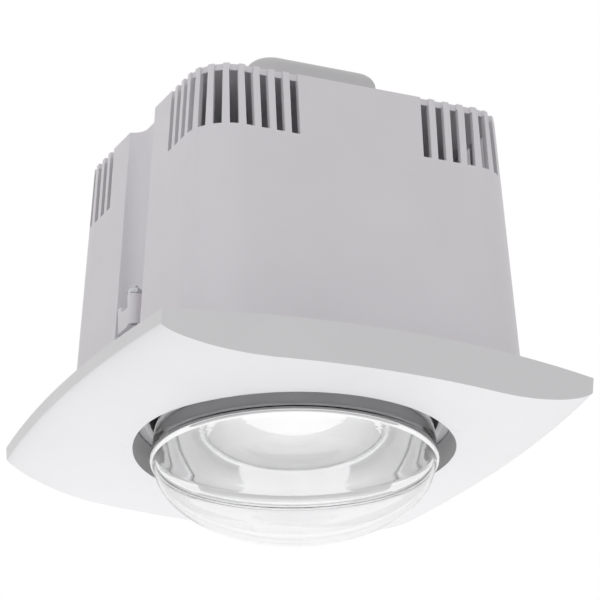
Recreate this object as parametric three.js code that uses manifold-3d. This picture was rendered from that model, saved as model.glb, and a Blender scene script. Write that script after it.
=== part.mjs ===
// Recessed ceiling heater with one infrared lamp.
// Millimetres, +Z up. Z = 0 is the ceiling plane and the lamp axis is the Z axis.
// The front faces -Y, and +X is on the right seen from the front.

import * as THREE from "three";
import { mergeVertices } from "three/addons/utils/BufferGeometryUtils.js";
import Module from "manifold-3d";

const wasm = await Module();
wasm.setup();

// Clearances
const fitGap = 0.3;
const boreGap = 0.3;
const cutOverrun = 1;

// Widest ring of the lamp, and the room that the housing leaves beside and in front of it
const lampRadius = 62.5;
const lampSideRoom = 17.3;
const lampFrontRoom = 17.7;

// Housing
const housingHalfWidth = lampRadius + lampSideRoom;
const housingHalfDepth = lampRadius + lampFrontRoom;
const housingHeight = 126.3;
const housingSideDraft = 8.2;
const housingFrontDraft = 10.4;
const housingWall = 2.5;
const housingTop = 2.5;
const housingCornerLow = 25;
const housingCornerHigh = 17.5;
const flangeSideReach = 10.2;
const flangeFrontReach = 8.4;
const flangeCorner = 26;
const flangeThickness = 3;
const flangeHalfWidth = housingHalfWidth + flangeSideReach;
const flangeHalfDepth = housingHalfDepth + flangeFrontReach;

// Clamp channels in the left and right walls
const channelHalfWidth = 14.3;
const channelDepth = 13.8;
const channelCorner = 7;
const channelCutHalf = 15;
const channelWall = 2;
const channelFloor = housingHalfWidth - channelDepth;

// Vent slots round the upright corners
const slotStartFront = 29.1;
const slotStartSide = 32.8;
const slotWidth = 3.7;
const slotCount = 11;
const slotHeight = 26.3;
const slotTopGap = 2.8;
const slotTop = housingHeight - slotTopGap;
const slotBottom = slotTop - slotHeight;
const slotReach = 10;
const grooveDepth = 1.3;

// Heat shield
const shieldThickness = 1;
const shieldWall = 0.8;
const shieldInset = 7.3;
const shieldCorner = 9;
const shieldMouthGap = 2;
const shieldThroatInset = 0.1;
const shieldTopRadius = 44.5;
const shieldTopHeight = 62;
const shieldNotchRadius = 5.2;
const postRadius = 4.5;
const postReach = 19;
const postHeight = 15;

// Fascia
const fasciaSideReach = 19.1;
const fasciaFrontReach = 8.6;
const fasciaBulgeFront = 16.1;
const fasciaBulgeSide = 6.5;
const fasciaDepth = 16.7;
const fasciaEdgeDepth = 6;
const fasciaFlatHalf = 50;
const fasciaRimInset = 4;
const fasciaWall = 2.5;
const fasciaCurvePower = 0.75;
const fasciaOverrun = 14;
const openingGap = 7.3;
const collarTaper = 2;
const collarWall = 2.2;
const collarTopGap = 0.6;
const fasciaHalfWidth = housingHalfWidth + fasciaSideReach;
const fasciaHalfDepth = housingHalfDepth + fasciaFrontReach;

// Fascia clips
const clipOffset = 36;
const clipInset = 2.9;
const clipWidth = 10;
const clipThickness = 0.8;
const clipBowOut = 1.5;
const clipBowHeight = 8;
const clipTopHeight = 20;
const clipTipIn = 0.4;
const clipStraightTop = -2;
const pocketWall = 1.5;
const pocketHeight = 6;

// Screws
const screwHeadRadius = 3;
const screwHeadHeight = 2;
const screwRadius = 1.5;
const screwLength = 11;
const screwSlotWidth = 0.9;
const screwSlotDepth = 1;
const screwTip = 0.8;

// Lampholder and its cover
const holderHang = 31.2;
const holderRadius = 19.7;
const holderBore = 14.5;
const holderRoofRise = 1.4;
const holderFlangeRadius = 22;
const holderFlangeHeight = 3;
const holderHeadRadius = 16;
const holderRise = 22.8;
const holderHoleGap = 0.5;
const shellGap = 0.4;
const shellWall = 0.5;
const shellInset = 3;
const shellHeight = 25;
const springLength = 14;
const springWidth = 4;
const springThickness = 0.6;
const springDentHalf = 2.5;
const springTipHalf = 0.8;
const holderBottom = housingHeight - holderHang;
const holderRoof = housingHeight + holderRoofRise;
const holderTop = housingHeight + holderRise;
const holderHole = holderRadius + holderHoleGap;
const shellRadius = holderBore - shellGap;
const shellBottom = holderBottom + shellInset;
const shellTop = shellBottom + shellHeight;
const strapHalfLength = 28;
const strapHalfWidth = 6;
const strapRingRadius = 19.5;
const strapThickness = 1.5;
const strapScrewPlace = 25;
const coverHalfWidth = 30.5;
const coverHalfDepth = 31.5;
const coverCorner = 11;
const coverRise = 28;
const coverWall = 2;
const coverPostPlace = 21.5;
const coverPostRadius = 3.6;
const coverEdge = 5;
const coverTop = housingHeight + coverRise;

// Terminal box behind the lampholder
const terminalCoverHalfWidth = 26;
const terminalCoverHalfDepth = 14;
const terminalCoverHeight = 22;
const terminalCoverCorner = 3;
const terminalCoverWall = 1.8;
const terminalEarLength = 9;
const terminalEarThickness = 2;
const terminalBlockWidth = 40;
const terminalBlockDepth = 14;
const terminalBlockHeight = 14;
const terminalCount = 3;
const terminalPitch = 12;
const terminalWellRadius = 2.6;
const terminalWellDepth = 7;
const terminalScrewRadius = 2.3;
const terminalScrewHeight = 5;
const grommetFlangeRadius = 7;
const grommetNeckRadius = 5;
const grommetBore = 3.4;
const grommetFlange = 1.5;
const grommetHeight = 11;
const leadRadius = 1.2;
const leadOffset = 6;
const leadHeight = 9;

// Infrared lamp
const lampEquator = -21.2;
const lampDomeDepth = 33.6;
const lampGlass = 1;
const lampBodyHeight = 95;
const lampNeckRadius = 19;
const lampBodyPower = 1.15;
const lampCollarGap = 0.4;
const lampCollarDrop = 0.6;
const lampRimDrop = 1;
const mirrorStartShare = 0.008;
const mirrorThickness = 0.35;
const capInset = 1.4;
const capSkirt = 7.6;
const capThreads = 3;
const capRadius = 12.6;
const capRidge = 0.5;
const capPitch = 3.63;
const capWall = 0.5;
const capShoulderRadius = 9;
const capShoulderHeight = 2.4;
const insulatorDrop = 1.8;
const insulatorRise = 1.2;
const insulatorTip = 2.3;
const insulatorTipRadius = 5.2;
const contactChamfer = 0.8;
const contactRadius = 4.8;
const contactDrop = 2.6;
const stemFlareRadius = 10.8;
const stemFlareRise = 3.2;
const stemDisc = 3;
const stemRadius = 4;
const stemFlare = 14;
const stemLength = 24;
const capBottom = holderBottom + capInset;
const capSkirtTop = capBottom + capSkirt;
const contactTop = holderRoof - contactDrop;
const lampCollarRadius = capRadius + capRidge - capWall - lampCollarGap;
const lampCollarHeight = capBottom - lampCollarDrop;
const lampRimHeight = capSkirtTop - lampRimDrop;
const stemFlareHeight = lampCollarHeight + stemFlareRise;
const stemTop = stemFlareHeight + stemDisc;
const stemWaist = stemFlareHeight - stemFlare;
const stemBottom = stemWaist - stemLength;
const shieldHalfWidth = housingHalfWidth - shieldInset;
const shieldHalfDepth = housingHalfDepth - shieldInset;
const shieldMouthRadius = lampRadius + shieldMouthGap;
const shieldThroatRadius = lampRadius - shieldThroatInset;
const openingRadius = lampRadius + openingGap;
const collarTopRadius = openingRadius - collarTaper;
const wireRadius = 0.6;
const wireStart = 2.4;
const filamentHalf = 16;
const filamentHeight = 26;
const filamentCoil = 1.9;
const filamentWire = 0.35;
const filamentTurns = 10;
const filamentSag = 3;

// Ceiling clamps
const clampAxisRise = 8.6;
const clampAxis = channelFloor + clampAxisRise;
const clampScrewRadius = 1.5;
const clampScrewTop = 47.4;
const clampHeadRadius = 3.8;
const clampHeadHeight = 2.4;
const clampHoleRadius = 2.1;
const jawBottom = 29.3;
const jawTop = 43;
const jawSleeveRadius = 3.2;
const jawFootWidth = 5;
const jawFootReach = 13.4;
const jawFootHeight = 8.7;
const jawLipWidth = 3;
const jawLipHeight = 3;
const jawLipSlope = 1.4;
const nutHeight = 2.4;
const nutRadius = 3;

// Facets
const cornerSteps = 7;
const edgeSteps = 4;
const arcSteps = 14;
const sectionSteps = 10;
const rowSteps = 12;
const fineRound = 32;
const openingRound = 48;
const middleRound = 20;
const coarseRound = 10;
const holeRound = 12;
const domeSteps = 8;
const bodySteps = 8;
const sidesOfNut = 6;
const wireSides = 6;
const coilSides = 5;
const coilSteps = 6;
const wireSteps = 6;
const coordinates = 3;
const mergeTolerance = 1e-4;

const quarterTurn = Math.PI / 2;
const halfTurn = Math.PI;
const fullTurn = 2 * Math.PI;

// Solids from geometry and back

function toSolid(geometry) {
  const bare = geometry.clone();
  bare.deleteAttribute("normal");
  bare.deleteAttribute("uv");
  const merged = mergeVertices(bare, mergeTolerance);
  const corners = [];
  const index = merged.index.array;
  for (let i = 0; i < index.length; i += coordinates) {
    const [a, b, c] = index.slice(i, i + coordinates);
    if (a !== b && b !== c && c !== a) {
      corners.push(a, b, c);
    }
  }
  return new wasm.Manifold(new wasm.Mesh({
    numProp: coordinates,
    vertProperties: new Float32Array(merged.attributes.position.array),
    triVerts: new Uint32Array(corners),
  }));
}

function toGeometry(solid) {
  const mesh = solid.getMesh();
  const geometry = new THREE.BufferGeometry();
  geometry.setAttribute("position", new THREE.BufferAttribute(mesh.vertProperties, coordinates));
  geometry.setIndex(new THREE.BufferAttribute(mesh.triVerts, 1));
  geometry.computeVertexNormals();
  return geometry;
}

function cut(solid, geometries) {
  return geometries.reduce((left, geometry) => left.subtract(toSolid(geometry)), solid);
}

function join(solid, geometries) {
  return geometries.reduce((whole, geometry) => whole.add(toSolid(geometry)), solid);
}

// Outlines and basic bodies

function roundedOutline(halfX, halfY, radius) {
  const points = [];
  const corners = [[1, 1], [-1, 1], [-1, -1], [1, -1]];
  corners.forEach(([signX, signY], corner) => {
    for (let step = 0; step <= cornerSteps; step += 1) {
      const angle = (corner + step / cornerSteps) * quarterTurn;
      points.push(new THREE.Vector2(
        signX * (halfX - radius) + radius * Math.cos(angle),
        signY * (halfY - radius) + radius * Math.sin(angle),
      ));
    }
  });
  return points;
}

function circle(radius, steps, x = 0, y = 0) {
  const points = [];
  for (let step = 0; step < steps; step += 1) {
    const angle = fullTurn * step / steps;
    points.push(new THREE.Vector2(x + radius * Math.cos(angle), y + radius * Math.sin(angle)));
  }
  return points;
}

function prism(points, low, high) {
  const settings = { depth: high - low, bevelEnabled: false };
  return new THREE.ExtrudeGeometry(new THREE.Shape(points), settings).translate(0, 0, low);
}

// A closed body through rings of equal point count, each ring at its own height.
function loft(rings) {
  const count = rings[0].points.length;
  const positions = rings.flatMap(({ points, z }) => points.flatMap((point) => [point.x, point.y, z]));
  const faces = [];
  for (let ring = 0; ring < rings.length - 1; ring += 1) {
    for (let i = 0; i < count; i += 1) {
      const next = (i + 1) % count;
      const a = ring * count + i;
      const b = ring * count + next;
      faces.push(a, b, b + count, a, b + count, a + count);
    }
  }
  const last = (rings.length - 1) * count;
  THREE.ShapeUtils.triangulateShape(rings[0].points, []).forEach(([a, b, c]) => faces.push(a, c, b));
  THREE.ShapeUtils.triangulateShape(rings[rings.length - 1].points, []).forEach(([a, b, c]) => {
    faces.push(last + a, last + b, last + c);
  });
  const geometry = new THREE.BufferGeometry();
  geometry.setAttribute("position", new THREE.Float32BufferAttribute(positions, coordinates));
  geometry.setIndex(faces);
  return geometry;
}

// Turns a profile of [radius, height] pairs round the Z axis.
function turned(profile, steps) {
  const points = profile.map(([radius, height]) => new THREE.Vector2(radius, height));
  if (THREE.ShapeUtils.area(points) < 0) {
    points.reverse();
  }
  if (points[0].x > 0) {
    points.push(points[0].clone());
  }
  return new THREE.LatheGeometry(points, steps).rotateX(quarterTurn);
}

// Extrudes an outline drawn in the YZ plane along X, centred on X = 0.
function sideways(pairs, width) {
  const points = pairs.map(([y, z]) => new THREE.Vector2(y, z));
  const body = new THREE.ExtrudeGeometry(new THREE.Shape(points), { depth: width, bevelEnabled: false });
  return body.translate(0, 0, -width / 2).rotateX(quarterTurn).rotateZ(quarterTurn);
}

function box(sizeX, sizeY, sizeZ, x, y, z) {
  return new THREE.BoxGeometry(sizeX, sizeY, sizeZ).translate(x, y, z);
}

function tube(path, radius, sides, steps) {
  const shape = new THREE.Shape(circle(radius, sides));
  return new THREE.ExtrudeGeometry(shape, { extrudePath: path, steps, bevelEnabled: false });
}

// A slotted pan head below and the shaft above, seated with the top of its head at Z = 0.
function screw(headRadius, headHeight, radius, length) {
  const body = turned([
    [0, -headHeight],
    [headRadius - screwTip, -headHeight],
    [headRadius, -headHeight + screwTip],
    [headRadius, 0],
    [radius, 0],
    [radius, length - screwTip],
    [radius - screwTip, length],
    [0, length],
  ], coarseRound);
  const slotHeight = screwSlotDepth + cutOverrun;
  const slotZ = -headHeight + screwSlotDepth - slotHeight / 2;
  return cut(toSolid(body), [box(headRadius * 2 + cutOverrun, screwSlotWidth, slotHeight, 0, 0, slotZ)]);
}

// Scene graph

const heater = new THREE.Group();

function add(name, geometry, material, parent = heater) {
  const mesh = new THREE.Mesh(geometry, material);
  mesh.name = name;
  parent.add(mesh);
  return mesh;
}

function look(color, roughness, metalness = 0) {
  return new THREE.MeshStandardMaterial({ color, roughness, metalness });
}

const housingPlastic = look(0xe7e6e8, 0.5);
const fasciaPlastic = look(0xeae9eb, 0.4);
const coverPlastic = look(0xb9b7ba, 0.55);
const clampPlastic = look(0xe7e6e8, 0.45);
const sheetAluminium = look(0xb4b6b9, 0.4, 0.9);
const zincSteel = look(0x9c9ea1, 0.35, 0.9);
const springSteel = look(0x84868a, 0.3, 0.9);
const brass = look(0xb99a55, 0.35, 0.9);
const ceramic = look(0xe6e2da, 0.6);
const blackGlass = look(0x202024, 0.25);
const clearGlass = look(0xdfe4e6, 0.05);
const silver = look(0xd6d8da, 0.1, 1);
const tungsten = look(0x55534f, 0.5, 0.8);
const rubber = look(0x2b2b2d, 0.8);
const nylon = look(0xd9d6cc, 0.5);
const leadInsulation = look(0x7a4a2c, 0.6);
const neutralInsulation = look(0x3c62a0, 0.6);

const sides = [-1, 1];
const cornerSigns = sides.flatMap((signX) => sides.map((signY) => [signX, signY]));
const cornerWord = ([signX, signY]) => `${signY < 0 ? "front" : "back"}_${signX < 0 ? "left" : "right"}`;

// Housing shell

function housingSize(z) {
  const heightShare = z / housingHeight;
  return {
    halfX: housingHalfWidth - housingSideDraft * heightShare,
    halfY: housingHalfDepth - housingFrontDraft * heightShare,
    corner: housingCornerLow + (housingCornerHigh - housingCornerLow) * heightShare,
  };
}

function housingRing(z, inset) {
  const { halfX, halfY, corner } = housingSize(z);
  return { points: roundedOutline(halfX - inset, halfY - inset, corner - inset), z };
}

// Places of the slots round one corner, each with the direction that its wall faces.
function slotPlaces(z) {
  const { halfX, halfY, corner } = housingSize(z);
  const frontRun = halfX - corner - slotStartFront;
  const arcRun = corner * quarterTurn;
  const sideRun = halfY - corner - slotStartSide;
  const pitch = (frontRun + arcRun + sideRun - slotWidth) / (slotCount - 1);
  const places = [];
  for (let i = 0; i < slotCount; i += 1) {
    const run = slotWidth / 2 + pitch * i;
    if (run < frontRun) {
      places.push({ x: slotStartFront + run, y: halfY, facing: quarterTurn });
    } else if (run < frontRun + arcRun) {
      const facing = quarterTurn - (run - frontRun) / corner;
      places.push({
        x: halfX - corner + corner * Math.cos(facing),
        y: halfY - corner + corner * Math.sin(facing),
        facing,
      });
    } else {
      places.push({ x: halfX, y: halfY - corner - (run - frontRun - arcRun), facing: 0 });
    }
  }
  return places;
}

// A cutter for one slot, reaching from below the skin to well outside it.
function slotCutter({ x, y, facing }, [signX, signY], low, high, inward) {
  const cutter = box(slotReach, slotWidth, high - low, slotReach / 2 - inward, 0, 0);
  const direction = Math.atan2(signY * Math.sin(facing), signX * Math.cos(facing));
  return cutter.rotateZ(direction).translate(signX * x, signY * y, (low + high) / 2);
}

const outerBody = toSolid(loft([housingRing(-flangeThickness, 0), housingRing(housingHeight, 0)]));
const innerBody = loft([
  housingRing(-flangeThickness - cutOverrun, housingWall),
  housingRing(housingHeight - housingTop, housingWall),
]);
const flange = prism(roundedOutline(flangeHalfWidth, flangeHalfDepth, flangeCorner), -flangeThickness, 0);
let shell = cut(join(outerBody, [flange]), [innerBody]);

const lowCorner = housingSize(0);
const postX = lowCorner.halfX - lowCorner.corner + postReach * Math.cos(quarterTurn / 2);
const postY = lowCorner.halfY - lowCorner.corner + postReach * Math.sin(quarterTurn / 2);
const linerFloor = channelFloor - channelWall;
const linerHalf = channelHalfWidth + channelWall;
const linerHeight = housingHeight + flangeThickness;
const linerReach = housingHalfWidth - linerFloor;
sides.forEach((side) => {
  const liner = box(
    linerReach, linerHalf * 2, linerHeight,
    side * (linerFloor + linerReach / 2), 0, linerHeight / 2 - flangeThickness,
  );
  shell = shell.add(outerBody.intersect(toSolid(liner)));
});
cornerSigns.forEach(([signX, signY]) => {
  const post = circle(postRadius, coarseRound, signX * postX, signY * postY);
  shell = shell.add(outerBody.intersect(toSolid(prism(post, -flangeThickness, postHeight))));
});

const shellCuts = [];
sides.forEach((side) => {
  const channel = prism(
    roundedOutline(channelCutHalf, channelHalfWidth, channelCorner), 0, housingHeight + cutOverrun,
  );
  shellCuts.push(channel.translate(side * (channelFloor + channelCutHalf), 0, 0));
  const screwHole = circle(clampHoleRadius, holeRound, side * clampAxis);
  shellCuts.push(prism(screwHole, -flangeThickness - cutOverrun, cutOverrun));
});
const slotDepth = housingWall + slotReach / 4;
const windowPlaces = slotPlaces((slotBottom + slotTop) / 2);
const groovePlaces = slotPlaces(housingHeight);
cornerSigns.forEach((signs) => {
  windowPlaces.forEach((place) => {
    shellCuts.push(slotCutter(place, signs, slotBottom, slotTop, slotDepth));
  });
  groovePlaces.forEach((place) => {
    shellCuts.push(slotCutter(place, signs, slotTop - fitGap, housingHeight + cutOverrun, grooveDepth));
  });
  const [signX, signY] = signs;
  const hole = circle(screwRadius + boreGap, holeRound, signX * postX, signY * postY);
  shellCuts.push(prism(hole, -flangeThickness - cutOverrun, screwLength));
});
const topLow = housingHeight - housingTop - cutOverrun;
const topHigh = housingHeight + cutOverrun;
const topHoles = [
  circle(holderHole, fineRound),
  circle(screwRadius + boreGap, holeRound, strapScrewPlace, 0),
  circle(screwRadius + boreGap, holeRound, -strapScrewPlace, 0),
  circle(screwRadius + boreGap, holeRound, coverPostPlace, -coverPostPlace),
  circle(screwRadius + boreGap, holeRound, -coverPostPlace, coverPostPlace),
];
const terminalCentre = coverHalfDepth + fitGap + terminalCoverHalfDepth;
const terminalEarPlace = terminalCoverHalfWidth + terminalEarLength / 2;
sides.forEach((side) => {
  topHoles.push(circle(screwRadius + boreGap, holeRound, side * terminalEarPlace, terminalCentre));
});
topHoles.forEach((hole) => shellCuts.push(prism(hole, topLow, topHigh)));
add("housing_shell", toGeometry(cut(shell, shellCuts)), housingPlastic);

// Heat shield: a pressed plate under the flange with a cone rising round the lamp

const plateTop = -flangeThickness - fitGap;
const plateLow = plateTop - shieldThickness;
const shieldPlate = prism(roundedOutline(shieldHalfWidth, shieldHalfDepth, shieldCorner), plateLow, plateTop);
const plateCuts = [prism(circle(shieldMouthRadius, fineRound), plateLow - cutOverrun, plateTop + cutOverrun)];
sides.forEach((side) => {
  const notch = circle(shieldNotchRadius, coarseRound, side * clampAxis);
  plateCuts.push(prism(notch, plateLow - cutOverrun, plateTop + cutOverrun));
});
cornerSigns.forEach(([signX, signY]) => {
  const hole = circle(screwRadius + boreGap, holeRound, signX * postX, signY * postY);
  plateCuts.push(prism(hole, plateLow - cutOverrun, plateTop + cutOverrun));
});
const shieldCone = turned([
  [shieldMouthRadius, plateLow],
  [shieldMouthRadius + shieldWall, plateLow],
  [shieldThroatRadius + shieldWall, plateTop],
  [shieldTopRadius + shieldWall, shieldTopHeight],
  [shieldTopRadius, shieldTopHeight],
  [shieldThroatRadius, plateTop],
], fineRound);
add("heat_shield", toGeometry(join(cut(toSolid(shieldPlate), plateCuts), [shieldCone])), sheetAluminium);

const plainScrew = screw(screwHeadRadius, screwHeadHeight, screwRadius, screwLength);
cornerSigns.forEach((signs) => {
  const mesh = add(`heat_shield_screw_${cornerWord(signs)}`, toGeometry(plainScrew), zincSteel);
  mesh.position.set(signs[0] * postX, signs[1] * postY, plateLow - fitGap);
});

// Fascia

const bulge = (size, half, along) => size * (1 - (along / half) ** 2);

// Plan of the fascia between its front and back edges, wider than its sides.
function fasciaPlan(inset, rim) {
  const half = fasciaHalfWidth - inset;
  const reach = fasciaHalfWidth + fasciaOverrun;
  const points = [];
  sides.forEach((signY) => {
    for (let step = 0; step <= arcSteps; step += 1) {
      const x = -signY * (2 * step / arcSteps - 1) * reach;
      const y = fasciaHalfDepth - inset - rim + bulge(fasciaBulgeFront, half, x);
      points.push(new THREE.Vector2(x, signY * y));
    }
  });
  return points;
}

// Section of the fascia across X at one depth, between its curved underside and a flat top.
function fasciaSection(y, inset, top) {
  const edge = fasciaHalfWidth - inset + bulge(fasciaBulgeSide, fasciaHalfDepth - inset, y);
  const points = [new THREE.Vector2(edge, top), new THREE.Vector2(-edge, top)];
  const lower = (x, depth) => points.push(new THREE.Vector2(x, -(depth - inset)));
  for (let step = 0; step <= sectionSteps; step += 1) {
    const share = Math.cos(quarterTurn * step / sectionSteps);
    const rise = (1 - share ** 2) ** fasciaCurvePower;
    const depth = fasciaEdgeDepth + (fasciaDepth - fasciaEdgeDepth) * rise;
    lower(-(fasciaFlatHalf + (edge - fasciaFlatHalf) * share), depth);
  }
  for (let step = sectionSteps; step >= 0; step -= 1) {
    const share = Math.cos(quarterTurn * step / sectionSteps);
    const rise = (1 - share ** 2) ** fasciaCurvePower;
    const depth = fasciaEdgeDepth + (fasciaDepth - fasciaEdgeDepth) * rise;
    lower(fasciaFlatHalf + (edge - fasciaFlatHalf) * share, depth);
  }
  return points;
}

function fasciaBlock(inset, top) {
  const rimAtTop = -fasciaRimInset * top / fasciaDepth;
  const plan = toSolid(loft([
    { points: fasciaPlan(inset, fasciaRimInset), z: -fasciaDepth },
    { points: fasciaPlan(inset, rimAtTop), z: top },
  ]));
  const reach = fasciaHalfDepth + fasciaBulgeFront + cutOverrun;
  const rings = [];
  for (let row = 0; row <= rowSteps; row += 1) {
    const y = reach * (2 * row / rowSteps - 1);
    rings.push({ points: fasciaSection(y, inset, top), z: -y });
  }
  rings.reverse();
  const sections = loft(rings).rotateX(quarterTurn);
  return plan.intersect(toSolid(sections));
}

const fasciaOuter = fasciaBlock(0, 0);
const opening = prism(circle(openingRadius, openingRound), -fasciaDepth - cutOverrun, cutOverrun);
const collar = toSolid(turned([
  [openingRadius, -fasciaDepth],
  [openingRadius + collarWall, -fasciaDepth],
  [collarTopRadius + collarWall, plateLow - collarTopGap],
  [collarTopRadius, plateLow - collarTopGap],
], openingRound));
const fasciaInside = -fasciaDepth + fasciaWall;
const clipY = housingHalfDepth - housingWall - clipInset;
const pocketOuterDepth = clipThickness + 2 * (fitGap + pocketWall);
const pocketOuterWidth = clipWidth + 2 * (fitGap + pocketWall);
const clipPlaces = cornerSigns.map(([signX, signY]) => [signX * clipOffset, signY * clipY]);
const pocketBlocks = clipPlaces.map(([x, y]) => box(
  pocketOuterWidth, pocketOuterDepth, pocketHeight + fasciaWall / 2,
  x, y, fasciaInside + pocketHeight / 2 - fasciaWall / 4,
));
const pocketHoles = clipPlaces.map(([x, y]) => box(
  clipWidth + 2 * fitGap, clipThickness + 2 * fitGap, pocketHeight + cutOverrun,
  x, y, fasciaInside + (pocketHeight + cutOverrun) / 2,
));
let fascia = fasciaOuter.subtract(fasciaBlock(fasciaWall, cutOverrun));
fascia = cut(fascia, [opening]).add(collar.intersect(fasciaOuter));
fascia = cut(join(fascia, pocketBlocks), pocketHoles);
add("fascia_plate", toGeometry(fascia), fasciaPlastic);

// Spring clips that stand in the fascia's pockets and press on the inside of the housing

function stripOutline(line, thickness) {
  const halfThickness = thickness / 2;
  const left = line.map(([u, z]) => [u - halfThickness, z]);
  const right = line.map(([u, z]) => [u + halfThickness, z]);
  return [...right, ...left.reverse()];
}

const clipLine = [
  [0, fasciaInside + fitGap],
  [0, clipStraightTop],
  [clipBowOut, clipBowHeight],
  [-clipTipIn, clipTopHeight],
];
clipPlaces.forEach(([x, y], i) => {
  const clip = sideways(stripOutline(clipLine, clipThickness), clipWidth);
  if (y < 0) {
    clip.rotateZ(halfTurn);
  }
  add(`fascia_clip_${cornerWord(cornerSigns[i])}`, clip, springSteel).position.set(x, y, 0);
});

// Lampholder, its strap and cover

const holderSeat = housingHeight + fitGap;
const holderFlangeTop = holderSeat + holderFlangeHeight;
const holderProfile = [
  [0, holderRoof],
  [holderBore, holderRoof],
  [holderBore, holderBottom],
  [holderRadius, holderBottom],
  [holderRadius, holderSeat],
  [holderFlangeRadius, holderSeat],
  [holderFlangeRadius, holderFlangeTop],
  [holderHeadRadius, holderFlangeTop],
  [holderHeadRadius, holderTop],
  [0, holderTop],
];
add("lampholder_body", turned(holderProfile, fineRound), ceramic);

const shellInner = shellRadius - shellWall;
add("lampholder_screw_shell", turned([
  [shellInner, shellBottom],
  [shellRadius, shellBottom],
  [shellRadius, shellTop],
  [shellInner, shellTop],
], fineRound), brass);

const springTop = holderRoof - fitGap;
const springLow = springTop - springThickness;
const springTip = contactTop + fitGap;
add("lampholder_contact_spring", sideways([
  [-springLength / 2, springTop],
  [-springLength / 2, springLow],
  [-springDentHalf, springLow],
  [-springTipHalf, springTip],
  [springTipHalf, springTip],
  [springDentHalf, springLow],
  [springLength / 2, springLow],
  [springLength / 2, springTop],
], springWidth), brass);

const strapLow = holderFlangeTop + fitGap;
const strapTop = strapLow + strapThickness;
const strapRing = prism(circle(strapRingRadius, fineRound), strapLow, strapTop);
const strapEars = box(
  strapHalfLength * 2, strapHalfWidth * 2, strapThickness, 0, 0, (strapLow + strapTop) / 2,
);
const strapHoles = [
  circle(holderHeadRadius + boreGap, fineRound),
  circle(screwRadius + boreGap, holeRound, strapScrewPlace, 0),
  circle(screwRadius + boreGap, holeRound, -strapScrewPlace, 0),
].map((hole) => prism(hole, strapLow - cutOverrun, strapTop + cutOverrun));
add("lampholder_strap", toGeometry(cut(join(toSolid(strapRing), [strapEars]), strapHoles)), zincSteel);
sides.forEach((side) => {
  const word = side < 0 ? "left" : "right";
  const mesh = add(`lampholder_strap_screw_${word}`, toGeometry(plainScrew), zincSteel);
  mesh.rotation.x = halfTurn;
  mesh.position.set(side * strapScrewPlace, 0, strapTop + fitGap);
});

const coverLow = housingHeight + fitGap;
const coverRing = (z, inset) => ({
  points: roundedOutline(coverHalfWidth - inset, coverHalfDepth - inset, coverCorner - inset),
  z,
});
// Rings up to a rounded top edge.
function coverRings(low, inset, edge, top) {
  const rings = [coverRing(low, inset)];
  for (let step = 0; step <= edgeSteps; step += 1) {
    const angle = quarterTurn * step / edgeSteps;
    const rise = edge * Math.sin(angle);
    rings.push(coverRing(top - edge + rise, inset + edge * (1 - Math.cos(angle))));
  }
  return rings;
}

const coverBody = loft(coverRings(coverLow, 0, coverEdge, coverTop));
const coverHollow = loft(
  coverRings(coverLow - cutOverrun, coverWall, coverEdge - coverWall, coverTop - coverWall),
);
const coverPosts = sides.map((side) => [-side * coverPostPlace, side * coverPostPlace]);
const leadZ = housingHeight + leadHeight;
const leadHoles = sides.map((side) => {
  const reach = coverHalfDepth + terminalCoverHalfDepth;
  const hole = new THREE.CylinderGeometry(leadRadius + boreGap, leadRadius + boreGap, reach, holeRound);
  return hole.translate(side * leadOffset, reach / 2, leadZ);
});
let holderCover = cut(toSolid(coverBody), [coverHollow]);
holderCover = join(holderCover, coverPosts.map(([x, y]) => prism(
  circle(coverPostRadius, coarseRound, x, y), coverLow, coverTop - coverWall / 2,
)));
holderCover = cut(holderCover, [
  ...leadHoles,
  ...coverPosts.map(([x, y]) => prism(
    circle(screwRadius + boreGap, holeRound, x, y), coverLow - cutOverrun, coverLow + screwLength,
  )),
]);
add("lampholder_cover", toGeometry(holderCover), coverPlastic);
coverPosts.forEach(([x, y], i) => {
  const mesh = add(`lampholder_cover_screw_${i + 1}`, toGeometry(plainScrew), zincSteel);
  mesh.position.set(x, y, housingHeight - housingTop - fitGap);
});

// Terminal block, its cover, the cable grommet and the leads to the lampholder

const blockTop = coverLow + terminalBlockHeight;
const blockBody = box(
  terminalBlockWidth, terminalBlockDepth, terminalBlockHeight,
  0, terminalCentre, coverLow + terminalBlockHeight / 2,
);
const terminalPlaces = [];
for (let i = 0; i < terminalCount; i += 1) {
  terminalPlaces.push((i - (terminalCount - 1) / 2) * terminalPitch);
}
const wellLow = blockTop - terminalWellDepth;
const wells = terminalPlaces.map((x) => prism(
  circle(terminalWellRadius, coarseRound, x, terminalCentre), wellLow, blockTop + cutOverrun,
));
add("terminal_block", toGeometry(cut(toSolid(blockBody), wells)), nylon);
terminalPlaces.forEach((x, i) => {
  const low = wellLow + fitGap;
  const high = low + terminalScrewHeight;
  const body = toSolid(prism(circle(terminalScrewRadius, coarseRound), low, high));
  const slot = box(terminalScrewRadius * 2 + cutOverrun, screwSlotWidth, screwSlotDepth * 2, 0, 0, high);
  const mesh = add(`terminal_screw_${i + 1}`, toGeometry(cut(body, [slot])), brass);
  mesh.position.set(x, terminalCentre, 0);
});

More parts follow.
